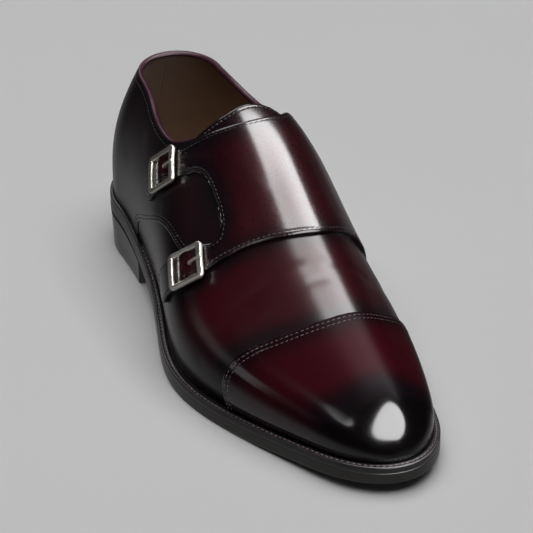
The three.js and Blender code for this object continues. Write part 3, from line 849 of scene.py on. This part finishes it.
def makeFlap():
    # the inner quarter, the flap and its two straps in one piece of leather
    first, end = [(float(stationAt(s)), t) for s, t in (seamTurn, (collarEnd["medial"], flapStart))]
    middleLine = evenly(np.linspace(first, end, 120))

    def sideLine(share):
        s = flapBack(flapStart) + (flapFront(flapStart) - flapBack(flapStart)) * np.asarray(share, float)
        return np.stack([stationAt(s), np.full(np.shape(s), flapStart)], axis=-1)
    free = [medSeamLow, medSeamHigh, flapLowMed, flapLow, flapTop, notchTop, notchLow, notchEnd]
    look = {"outer": flapLevel, "freeEdges": free, "roll": 0.45, "rollWidth": 1.3, "rows": (2.0,),
            "raise": strapHump, "edgeReach": 7.5, "edgeStrength": 0.42, "base": 0.62}
    sheets = []
    bm, u, v = panelGrid((130, 72), (0.3, 0.5))
    bottom = joined(route([(0, 1), (25, 1), (55, 1), (85, 1)]), medSeamLow)
    sheets.append((bm, coons(bottom, medCollar, heelLine(1, medCollar), middleLine, u, v)))
    bm, u, v = panelGrid((132, 72), (0, 0.5))
    sheets.append((bm, coons(medSeamHigh, sideLine, middleLine, reversedCurve(flapLowMed), u, v)))
    bm, u, v = strapGrid()
    sheets.append((bm, strapPairs(u, v)))
    whole = bmesh.new()
    for name in ("patina", "shine"):
        whole.verts.layers.float.new(name)
    for sheet, pairs in sheets:
        layLeather(sheet, pairs, look)
        mesh = bpy.data.meshes.new("sheet")
        sheet.to_mesh(mesh)
        whole.from_mesh(mesh)
        bpy.data.meshes.remove(mesh)
        sheet.free()
    inner = [vertex for vertex in whole.verts if vertex.co.x > 10 * mm]  # the sheets meet on the inner side
    bmesh.ops.remove_doubles(whole, verts=inner, dist=0.2 * mm)
    bmesh.ops.recalc_face_normals(whole, faces=whole.faces)
    turnOutwards(whole)
    solidified(newPiece("strapFlap", whole, "flap", ("strap_flap",)), 1.7, 0.35, 3)
    makeFlapLining()


flapLining = {"from": 0.545, "proud": 0.5, "fade": 0.05, "deep": 6, "below": 1.1}


def makeFlapLining():
    # the tan lining that shows as a thin raw edge at the inner end of the flap's top
    def back(t):
        return flapBack(t) - flapLining["proud"] * smooth((t - flapLining["from"]) / flapLining["fade"])
    acrossPanel("flapLining", {
        "across": (flapLining["from"], flapStart), "back": back, "cells": (60, 12),
        "front": lambda t: flapBack(t) + flapLining["deep"], "thickness": 0.5, "rim": 0.1,
        "outer": lambda station, t: flapLevel(station, t) - flapLining["below"],
    }, "rawEdge")


def reversedCurve(curve):
    share = np.linspace(1, 0, 240)
    return evenly(curve(share))


# across, where each strap ends under its buckle; column: the share of the grid that the straps take up;
# crowd: how its lines gather at the notch's root
strap = {"startUpper": 0.229, "startLower": 0.210, "column": 0.32, "crowd": 1.45, "cells": (160, 132)}


def strapGrid():
    # the flap's body and both straps as one grid, with the notch between them taken out
    bm = bmesh.new()
    bmesh.ops.create_grid(bm, x_segments=strap["cells"][0], y_segments=strap["cells"][1], size=0.5)
    holes = []
    for face in bm.faces:
        centre = face.calc_center_median()
        if centre.x + 0.5 < strap["column"] and abs(centre.y) < 0.1:
            holes.append(face)
    bmesh.ops.delete(bm, geom=holes, context="FACES")
    flat = np.array([vertex.co[:2] for vertex in bm.verts]) + 0.5
    return bm, flat[:, 0], flat[:, 1]


def strapPairs(u, v):
    # from the strap ends to the inner side, with the rows parted round the notch
    root, edge = notchRoot, strap["column"]
    start = np.where(v < 0.5, strap["startUpper"], strap["startLower"])
    t = np.where(u <= edge, root - (root - start) * (1 - np.clip(u / edge, 0, 1)) ** strap["crowd"],
                 root + (flapStart - root) * (u - edge) / (1 - edge))
    inNotch = np.minimum(t, root)
    fade = smooth((t - root) / 0.15)
    back, front = flapBack(t), flapFront(t)
    upperEdge = notchBack(inNotch) * (1 - fade) + (back * 0.6 + front * 0.4) * fade
    lowerEdge = notchFront(inNotch) * (1 - fade) + (back * 0.4 + front * 0.6) * fade
    s = np.where(v < 0.4, back + (upperEdge - back) * v / 0.4,
                 np.where(v > 0.6, lowerEdge + (front - lowerEdge) * (v - 0.6) / 0.4,
                          upperEdge + (lowerEdge - upperEdge) * (v - 0.4) / 0.2))
    return np.stack([stationAt(s), t], axis=-1)


# where the cap's mirror shine starts at the toe, the outer side and the inner side, and over what reach
mirror = {"toe": (273.5, 5), "outer": (0.32, 0.12), "inner": (0.80, 0.10)}


def capShine(s, t):
    # the toe and the low sides are waxed to a mirror, the middle stays satin
    (toe, toeReach), (outer, outerReach), (inner, innerReach) = mirror.values()
    shine = smooth((s - toe) / toeReach) + smooth((outer - t) / outerReach) + smooth((t - inner) / innerReach)
    return np.clip(shine, 0, 1)


def makeCap():
    acrossPanel("toeCap", {
        "across": (0, 1), "back": capLine, "front": straightAt(footEnd), "cells": (200, 120),
        "crowd": (0.1, 0.55), "outer": layers["cap"], "thickness": 1.15, "freeEdges": [capCurve(0)],
        "roll": 0.35, "rollWidth": 1.0, "rows": (1.8, 4.0), "edgeReach": 9, "base": 0.44, "shine": capShine,
    }, "cap", ("toe_cap",))


def makeLining():
    common = {"outer": layers["lining"], "thickness": 0.8, "rim": 0, "base": 0.5}
    end = 152
    sides = (("liningLateral", 0, latCollar, [(collarEnd["lateral"], latTop), (end, 0.44)]),
             ("liningMedial", 1, medCollar, [(collarEnd["medial"], flapStart), (118, 0.60), (end, 0.56)]))
    for name, foot, collar, rest in sides:
        panel(name, {**common, "cells": (90, 50), "edges": {
            "bottom": route([(0, foot), (30, foot), (80, foot), (end, foot)]),
            "top": joined(collar, route(rest)), "left": heelLine(foot, collar),
            "right": route([(end, foot), rest[-1]])}}, "lining")
    acrossPanel("liningFront", {**common, "across": (0, 1), "back": straightAt(end - 4),
                                "front": straightAt(footEnd), "cells": (80, 60)}, "lining")


tongue = {"from": 0.335, "to": 0.65, "front": 176, "row": 2.4}
tongueBack = tableCurve([(0.335, 108), (0.36, 108.5), (0.40, 111), (0.45, 114.2), (0.50, 115.2),
                         (0.55, 115.5), (0.60, 116.5), (0.65, 118.5)], 1)


def makeTongue():
    top = edgeOf(tongueBack, tongue["from"], tongue["to"])
    acrossPanel("tonguePiece", {
        "across": (tongue["from"], tongue["to"]), "back": tongueBack,
        "front": straightAt(tongue["front"]), "cells": (90, 90), "crowd": (0.4, 0.6),
        "outer": layers["tongue"], "thickness": 1.5, "freeEdges": [top], "roll": 0.4,
        "rows": (tongue["row"],), "edgeStrength": 0.25,
    }, "flap", ("tongue",))
    row = inset(top, tongue["row"], -1, layers["tongue"])
    stitches("tongueStitches", row, {**seam, "level": layers["tongue"]}, "paleThread")


tab = {"width": 15.5, "slant": 1.2, "tip": 0.045, "lean": 6.0, "end": 0.236, "row": 1.8}


def makeTabs():
    # the end of each strap below its buckle
    for fastener in fasteners:
        start = fastener["tabAcross"]
        lean = (fastener["frontS"] - fastener["tabS"]) / (fastener["frontAcross"] - start)

        def tip(t):
            return np.clip((start + tab["tip"] - t) / tab["tip"], 0, 1)

        def middle(t):
            return fastener["tabS"] + lean * (t - start) + tab["lean"] * tip(t) ** 1.6

        def half(t):
            return tab["width"] / 2 * tab["slant"] * np.sqrt(np.maximum(1 - tip(t) ** 2.2, 0.0004))

        def back(t):
            return middle(t) - half(t)

        def front(t):
            return middle(t) + half(t)
        edges = [edgeOf(back, start, tab["end"]), edgeOf(front, start, tab["end"])]
        acrossPanel("strapEnd_" + fastener["name"], {
            "across": (start, tab["end"]), "back": back, "front": front, "cells": (80, 46),
            "crowd": (0.6, 0.5), "outer": layers["tab"], "thickness": 1.5, "freeEdges": edges, "roll": 0.4,
            "rows": (tab["row"],), "raise": strapHump, "base": 0.85, "edgeStrength": 0.2, "edgeReach": 3,
        }, "flap", ("buckle_tab_" + fastener["name"],))
        for place, (edge, side) in enumerate(zip(edges, (-1, 1))):
            row = part(inset(edge, tab["row"], side, layers["tab"]), 0.08, 0.92)
            thread = {**seam, "level": layers["tab"], "raise": strapHump, "drop": clearOfBuckles}
            stitches(f"strapEndStitches_{fastener['name']}_{place}", row, thread, "darkThread")


def sweptTube(bm, centres, outs, ups, widths, heights, power=2.0, around=14, closed=False):
    # a closed section carried along a path; out and up are its two directions at each stop
    count = len(centres)
    start = len(bm.verts)
    bmesh.ops.create_grid(bm, x_segments=count if closed else count - 1, y_segments=around, size=0.5)
    bm.verts.ensure_lookup_table()
    fresh = bm.verts[start:]
    for vertex in fresh:
        stop = int(round((vertex.co.x + 0.5) * (count if closed else count - 1))) % count
        angle = 2 * math.pi * (vertex.co.y + 0.5)
        across, over = math.cos(angle), math.sin(angle)
        across = math.copysign(abs(across) ** (2 / power), across) * widths[stop] / 2
        over = math.copysign(abs(over) ** (2 / power), over) * heights[stop] / 2
        vertex.co = Vector(centres[stop] + outs[stop] * across + ups[stop] * over) * mm
    bmesh.ops.remove_doubles(bm, verts=fresh, dist=0.002 * mm)
    if not closed:
        rims = [edge for edge in bm.edges if edge.is_boundary]
        bmesh.ops.holes_fill(bm, edges=rims, sides=around + 2)
    bmesh.ops.recalc_face_normals(bm, faces=bm.faces)


binding = {"width": 3.1, "height": 2.0, "level": 1.25, "rise": 0.1}


def makeBinding():
    # the folded edge round the collar
    back = latCollar(np.linspace(1, 0, 150))
    front = medCollar(np.linspace(0, 1, 150))[1:]
    pairs = np.concatenate([back, front])
    centres = surfacePoint(pairs[:, 0], pairs[:, 1], binding["level"])
    outs = surfaceNormal(pairs[:, 0], pairs[:, 1])
    ahead = unit(np.gradient(centres, axis=0))
    ups = unit(np.cross(ahead, outs))
    ups = ups * np.sign(ups[len(ups) // 2, 2])
    share = np.linspace(0, 1, len(pairs))
    fade = 0.25 + 0.75 * smooth(np.minimum(share, 1 - share) / 0.03)
    bm = bmesh.new()
    centres = centres + ups * binding["rise"]
    sweptTube(bm, centres, outs, ups, binding["width"] * fade, binding["height"] * fade, 2.4)
    newPiece("collarBinding", bm, "binding")


seam = {"pitch": 2.5, "length": 1.85, "width": 0.44, "height": 0.32, "slant": 6}


def clearOfBuckles(points):
    # leaves out the stitches that a buckle covers
    keep = np.ones(len(points), bool)
    for fastener in fasteners:
        x, y, z = seenFrom(fastener, points)
        within = (np.abs(x) < buckle["along"] / 2 + 1) & (np.abs(y) < buckle["across"] / 2 + 1)
        keep &= ~(within & (np.abs(z) < 8))
    return keep


def makeStitches():
    cap = capCurve(0)
    for place, distance in enumerate((1.8, 4.0)):
        stitches(f"capStitches_{place}", inset(cap, distance, -1, layers["cap"]),
                 {**seam, "level": layers["cap"] + 0.02}, "paleThread")
    flapThread = {**seam, "level": flapLevel, "raise": strapHump, "drop": clearOfBuckles}
    onFlap = layers["flap"]
    low = inset(joined(flapLow, flapLowMed), 2.0, 1, onFlap)
    stitches("flapStitchesLow", low, flapThread, "paleThread")
    stitches("flapStitchesTop", inset(flapTop, 2.2, -1, onFlap), flapThread, "darkThread")
    notchEdges = (notchTop, notchEnd, reversedCurve(notchLow))
    notch = joined(*[inset(edge, 2.0, 1, onFlap) for edge in notchEdges])
    stitches("notchStitches", notch, {**flapThread, "width": 0.4, "height": 0.25}, "darkThread")
    quarterThread = {**seam, "level": layers["quarter"]}
    medSeam = joined(medSeamLow, medSeamHigh)
    for place, distance in enumerate((1.7, 3.6)):
        stitches(f"seamStitchesLateral_{place}", inset(latSeam, distance, 1), quarterThread, "darkThread")
        stitches(f"seamStitchesMedial_{place}", inset(medSeam, distance, -1), quarterThread, "darkThread")
    for name, side, curve in (("Lateral", -1, latCollar), ("Medial", 1, medCollar)):
        row = part(inset(curve, 3.0, side), 0.0, 0.97)
        stitches("collarStitches" + name, row, quarterThread, "darkThread")
    makeBartack()


bartack = {"s": (150, 158), "across": (0.868, 0.835), "bars": 4, "stitch": 1.6}


def makeBartack():
    # a short zigzag that holds the point of the flap
    shares = np.linspace(0, 1, 2 * bartack["bars"] + 1)
    first, end = bartack["s"]
    pairs = np.array([[float(stationAt(first + (end - first) * share)), bartack["across"][place % 2]]
                      for place, share in enumerate(shares)])
    dense = rowsAt(np.linspace(0, 1, 200), shares, pairs)
    thread = {**seam, "pitch": bartack["stitch"], "length": bartack["stitch"], "slant": 0, "level": flapLevel}
    stitches("bartack", evenly(dense), thread, "paleThread")


bottomStations = np.concatenate([np.linspace(0, 1, 60), np.linspace(1, toeEnd - 1, 120)[1:],
                                 np.sin(np.linspace(0, math.pi / 2, 46)[1:]) + toeEnd - 1])


def stackOfLoops(name, stations, loop, look, replaces):
    # one closed loop of points for each station, joined into a solid
    rows = loop(stations)
    count, around = rows.shape[:2]
    bm = bmesh.new()
    bmesh.ops.create_grid(bm, x_segments=count - 1, y_segments=around, size=0.5)
    for vertex in bm.verts:
        stop = int(round((vertex.co.x + 0.5) * (count - 1)))
        turn = int(round((vertex.co.y + 0.5) * around)) % around
        vertex.co = Vector(rows[stop, turn]) * mm
    bmesh.ops.remove_doubles(bm, verts=bm.verts, dist=0.004 * mm)
    rims = [edge for edge in bm.edges if edge.is_boundary]
    if rims:
        bmesh.ops.holes_fill(bm, edges=rims, sides=around + 4)
    bmesh.ops.recalc_face_normals(bm, faces=bm.faces)
    return newPiece(name, bm, look, replaces)


def plateLoop(stations, margin, top, bottom, rounding, shift=None):
    # section of a plate across the shoe: rounded edges, flat top and bottom
    side = [(rounding * 0.9, 0), (rounding * 0.3, rounding * 0.3), (0, rounding)]
    steps = np.linspace(0, 1, 9)[1:-1]
    lowStations = shift(stations) if shift else stations
    high, low = top(stations), bottom(stations)
    loop = []

    def add(level, sideways, inwards):
        at = stations * (1 - level) + lowStations * level
        edge = margin(stations, level) - inwards
        point = featherPoint(at, -1, edge) * (1 - sideways) + featherPoint(at, 1, edge) * sideways
        point[:, 2] = high + (low - high) * level
        loop.append(point)
    thickness = np.mean(high - low)
    corner = rounding / thickness
    profile = [(0, share) for share in np.linspace(0, 1 - corner, 9)]
    profile += [(inwards, 1 - drop / thickness) for inwards, drop in reversed(side[:-1])]
    for inwards, level in profile:
        add(level, 0, inwards)
    for step in steps:
        add(1, step, rounding)
    for inwards, level in reversed(profile):
        add(level, 1, inwards)
    for step in reversed(steps):
        add(0, step, 0)
    return np.stack(loop, axis=1)


def soleTop(stations):
    return footHeight(stations) - last["welt"] - 0.01


def soleBottom(stations):
    return np.maximum(footHeight(stations) - last["welt"] - last["gap"] - last["sole"], 0)


def makeSole():
    def loop(stops):
        return plateLoop(stops, lambda at, level: soleMargin(at), soleTop, soleBottom, 0.55)
    stackOfLoops("outsoleLeather", bottomStations, loop, "edge", ("outsole",))


def makeHeel():
    breast = float(stationAt(last["breastTop"]))
    taper = (float(stationAt(last["breastBottom"])) - 1) / (breast - 1)
    stations = np.concatenate([np.linspace(0, 1, 60), np.linspace(1, breast, 24)[1:]])

    def margin(stations, level):
        return soleMargin(stations) - last["heelTaper"] * level - 0.25 * math.sin(math.pi * level)

    def shift(stations):
        return np.where(stations <= 1, stations, 1 + (stations - 1) * taper)

    def loop(stops):
        return plateLoop(stops, margin, lambda at: soleBottom(at) - 0.01, lambda at: 0 * at, 0.5, shift)
    stackOfLoops("heelBlock", stations, loop, "heel", ("heel",))


# the welt's section, in mm out from the sole's edge and up from the feather edge; the dip holds the stitches
weltProfile = [
    (-6.4, -3.0), (-6.4, -0.9), (-5.0, -0.95), (-4.1, -0.85), (-3.6, -0.45), (-3.2, -0.06), (-2.7, 0.0),
    (-2.3, -0.10), (-1.85, -0.14), (-1.4, -0.10), (-1.1, 0.02), (-0.7, 0.12), (-0.35, 0.06), (-0.1, -0.18),
    (0, -0.5), (0, -1.4), (0, -2.2), (0, -3.02), (-3.4, -3.02),
]
randProfile = [
    (-4.6, -3.0), (-4.6, -0.7), (-2.6, -0.7), (-2.1, -0.4), (-1.5, -0.02), (-0.9, 0.04), (-0.4, -0.05),
    (-0.08, -0.3), (0, -0.7), (0, -1.6), (0, -2.4), (0, -3.02), (-2.4, -3.02),
]


def edgeStrip(name, stations, sides, profile, replaces):
    def loop(stops):
        margin = soleMargin(stops)
        rows = []
        for out, up in profile:
            point = featherPoint(stops, sides, margin + out)
            point[:, 2] = footHeight(stops) + up
            rows.append(point)
        return np.stack(rows, axis=1)
    return stackOfLoops(name, stations, loop, "welt", replaces)


def makeWelt():
    breast = float(stationAt(last["breastTop"]))
    forward = np.append(breast, bottomStations[bottomStations > breast])
    edgeStrip("weltStrip", *bothSides(forward), weltProfile, ("welt",))
    heel = np.append(bottomStations[bottomStations < breast], breast)
    edgeStrip("heelSeatRand", *bothSides(heel[::-1]), randProfile, ("heel_rand",))
    makeWeltStitches(breast)


weltStitch = {"pitch": 2.8, "length": 2.1, "width": 0.62, "height": 0.5, "in": 1.85, "slant": 8}


def makeWeltStitches(breast):
    stations, sides = bothSides(np.linspace(breast + 0.05, toeEnd, 1500))
    points = featherPoint(stations, sides, soleMargin(stations) - weltStitch["in"])
    points[:, 2] = footHeight(stations) - 0.04
    lengths = pathLengths(points)
    places = np.arange(weltStitch["pitch"], lengths[-1], weltStitch["pitch"])
    centres, nexts = rowsAt(places, lengths, points), rowsAt(places + 0.5, lengths, points)
    bm = bmesh.new()
    addBeads(bm, centres, nexts - centres, [(0, 0, 1)] * len(centres), weltStitch)
    newPiece("weltStitches", bm, "weltThread")


def makeSock():
    bm, u, v = panelGrid((200, 40), (0, 0.4))
    stations = np.interp(u, np.linspace(0, 1, len(bottomStations)), bottomStations)
    lateral = featherPoint(stations, -1, -0.3)
    medial = featherPoint(stations, 1, -0.3)
    points = lateral * (1 - v)[:, None] + medial * v[:, None]
    cup = (2 * np.abs(v - 0.5)) ** 3 * 1.6 * smooth((4 - stations) / 2)
    points[:, 2] = footHeight(stations) + last["insoleRise"] + cup
    for vertex, point in zip(bm.verts, points * mm):
        vertex.co = point
    bmesh.ops.remove_doubles(bm, verts=bm.verts, dist=0.01 * mm)
    bmesh.ops.recalc_face_normals(bm, faces=bm.faces)
    if sum(face.normal.z for face in bm.faces) < 0:
        bmesh.ops.reverse_faces(bm, faces=bm.faces)
    solidified(newPiece("sockLining", bm, "sock", ("insole",)), 1.6, 0)


def rectanglePath(width, height, corner, count):
    # evenly spaced points and outward directions round a rectangle with rounded corners
    points = []
    for place, (sx, sy) in enumerate(((1, 1), (-1, 1), (-1, -1), (1, -1))):
        for step in np.linspace(0, 1, 12):
            angle = (place + step) * math.pi / 2
            across, over = math.cos(angle), math.sin(angle)
            points.append((sx * (width / 2 - corner) + corner * across,
                           sy * (height / 2 - corner) + corner * over, across, over))
    points.append(points[0])
    points = np.array(points)
    lengths = pathLengths(points[:, :2])
    return rowsAt(np.linspace(0, lengths[-1], count + 1)[:-1], lengths, points)


def makeBuckle(fastener):
    middle, along, sideways, outward = fastenerAxes(fastener)
    bar, lift, height = buckle["bar"], buckle["lift"], buckle["height"]
    level = lift + height / 2
    rows = rectanglePath(buckle["along"] - bar, buckle["across"] - bar, buckle["corner"] - bar / 2, 120)
    bow = -0.5 * (rows[:, 1] / (buckle["across"] / 2)) ** 2
    centres = (middle + rows[:, :1] * along + rows[:, 1:2] * sideways + (level + bow)[:, None] * outward)
    outs = rows[:, 2:3] * along + rows[:, 3:4] * sideways
    ups = np.repeat(outward[None], len(rows), axis=0)
    front = smooth((rows[:, 0] - 6) / 3)
    bm = bmesh.new()
    widths = bar + (buckle["frontBar"] - bar) * front
    sweptTube(bm, centres, outs, ups, widths, height + 0.25 * front, 3.6, 24, True)
    newPiece("frame_" + fastener["name"], bm, "nickel", ("buckle_" + fastener["name"],))
    makeProng(fastener)


prong = {"path": [(2.4, 1.2), (3.4, 2.6), (5.2, 3.3), (8.0, 3.55), (10.4, 3.6), (11.4, 3.2)],
         "thick": 1.9, "tip": 1.3}


def makeProng(fastener):
    middle, along, sideways, outward = fastenerAxes(fastener)
    knots = np.linspace(0, len(prong["path"]) - 1, 24)
    x, z = [columnCurve(values)(knots) for values in zip(*prong["path"])]
    centres = middle + x[:, None] * along + z[:, None] * outward
    ahead = unit(np.gradient(centres, axis=0))
    outs = np.repeat(sideways[None], len(x), axis=0)
    ups = unit(np.cross(outs, ahead))
    thick = np.linspace(prong["thick"], prong["tip"], len(x))
    bm = bmesh.new()
    sweptTube(bm, centres, outs, ups, thick, thick * 0.85, 2.2, 12)
    newPiece("prong_pin_" + fastener["name"], bm, "nickel", ("prong_" + fastener["name"],))


studio = {
    "floor": (0.72, 0.72, 0.72), "floorSize": 9.0,
    "room": [(0.29, (0.25, 0.245, 0.245)), (0.43, (0.035, 0.032, 0.034)), (0.52, (0.012, 0.011, 0.012))],
}
# each soft light: its place, size, power and what it lights; a turned one faces the shoe, the rest face down
lamps = [
    {"name": "topBox", "at": (0.70, 0.29, 1.50), "size": (2.0, 0.56), "power": 54, "for": "gloss"},
    {"name": "toeBox", "at": (0.36, -1.15, 1.06), "size": (2.3, 1.6), "power": 92, "for": "gloss",
     "shape": "ELLIPSE", "turned": True},
    {"name": "leftBox", "at": (-0.95, -0.26, 0.95), "size": (0.42, 0.62), "power": 1.9, "for": "gloss",
     "shape": "ELLIPSE"},
    {"name": "outerBox", "at": (-1.90, 0.70, 0.55), "size": (1.0, 0.5), "power": 1.1, "for": "gloss",
     "turned": True},
    {"name": "backBox", "at": (0.10, 1.90, 1.35), "size": (1.6, 0.7), "power": 8, "for": "gloss",
     "turned": True},
    {"name": "wideTop", "at": (0, 0, 3.4), "size": (4.0, 4.0), "power": 112, "for": "diffuse"},
]
camera = {
    "azimuth": -26.8, "elevation": 28.5, "distance": 1.2446, "anchor": (0.11193, 0.05035, 0.0),
    "aim": (0.002, -0.012, 0.046), "lens": 158.0,
}


def makeFloor():
    bm = bmesh.new()
    bmesh.ops.create_grid(bm, x_segments=2, y_segments=2, size=studio["floorSize"] / 2)
    mesh = bpy.data.meshes.new("floor")
    bm.to_mesh(mesh)
    bm.free()
    floor = bpy.data.objects.new("floor", mesh)
    floor.visible_glossy = False
    bpy.context.collection.objects.link(floor)
    finish = Finish("paleFloor", **{"Specular IOR Level": 0.05})
    cloud = finish.noise(3, 2)
    darker = tuple(value * 0.985 for value in studio["floor"])
    finish.set("Base Color", finish.ramp(cloud, [(0.3, studio["floor"]), (0.7, darker)]))
    finish.set("Roughness", (0.72 + (cloud - 0.5) * 0.1).clamped())
    mesh.materials.append(finish.material)


def makeLights():
    for lamp in lamps:
        light = bpy.data.lights.new(lamp["name"], "AREA")
        light.shape = lamp.get("shape", "RECTANGLE")
        light.size, light.size_y = lamp["size"]
        light.energy = lamp["power"]
        holder = bpy.data.objects.new(lamp["name"], light)
        holder.location = lamp["at"]
        if lamp.get("turned"):
            holder.rotation_euler = Vector(lamp["at"]).to_track_quat("Z", "Y").to_euler()
        holder.visible_glossy = lamp["for"] != "diffuse"
        holder.visible_diffuse = lamp["for"] != "gloss"
        bpy.context.collection.objects.link(holder)
    makeSurroundings()


def makeSurroundings():
    # a dim room whose lower half stands for the floor that the polished leather mirrors
    world = bpy.data.worlds.new("studio")
    room = Nodes(world)
    direction = room.node("ShaderNodeTexCoord", {}, {}).outputs["Generated"]
    parts = room.node("ShaderNodeSeparateXYZ", {}, {0: direction})
    height = Flow(room, parts.outputs["Z"]) * 0.5 + 0.5
    light = room.node("ShaderNodeBackground", {}, {"Color": room.ramp(height, studio["room"])})
    room.node("ShaderNodeOutputWorld", {}, {"Surface": light.outputs[0]})
    bpy.context.scene.world = world


def makeCamera():
    azimuth, elevation = math.radians(camera["azimuth"]), math.radians(camera["elevation"])
    back = Vector((math.sin(azimuth) * math.cos(elevation), -math.cos(azimuth) * math.cos(elevation),
                   math.sin(elevation)))
    data = bpy.data.cameras.new("camera")
    data.lens = camera["lens"]
    data.clip_end = 50
    holder = bpy.data.objects.new("camera", data)
    holder.location = Vector(camera["anchor"]) + back * camera["distance"]
    look = holder.location - Vector(camera["aim"])
    holder.rotation_euler = look.to_track_quat("Z", "Y").to_euler()
    bpy.context.collection.objects.link(holder)
    bpy.context.scene.camera = holder
    bpy.context.scene.view_settings.view_transform = "Standard"


makeFloor()
makeLights()
makeCamera()
print("studio set")
makeUpper()
makeCap()
makeLining()
makeTongue()
makeTabs()
makeBinding()
print("upper laid")
makeStitches()
print("stitched")
makeSole()
makeHeel()
makeWelt()
makeSock()
print("bottomed")
for fastener in fasteners:
    makeBuckle(fastener)
print("buckled")
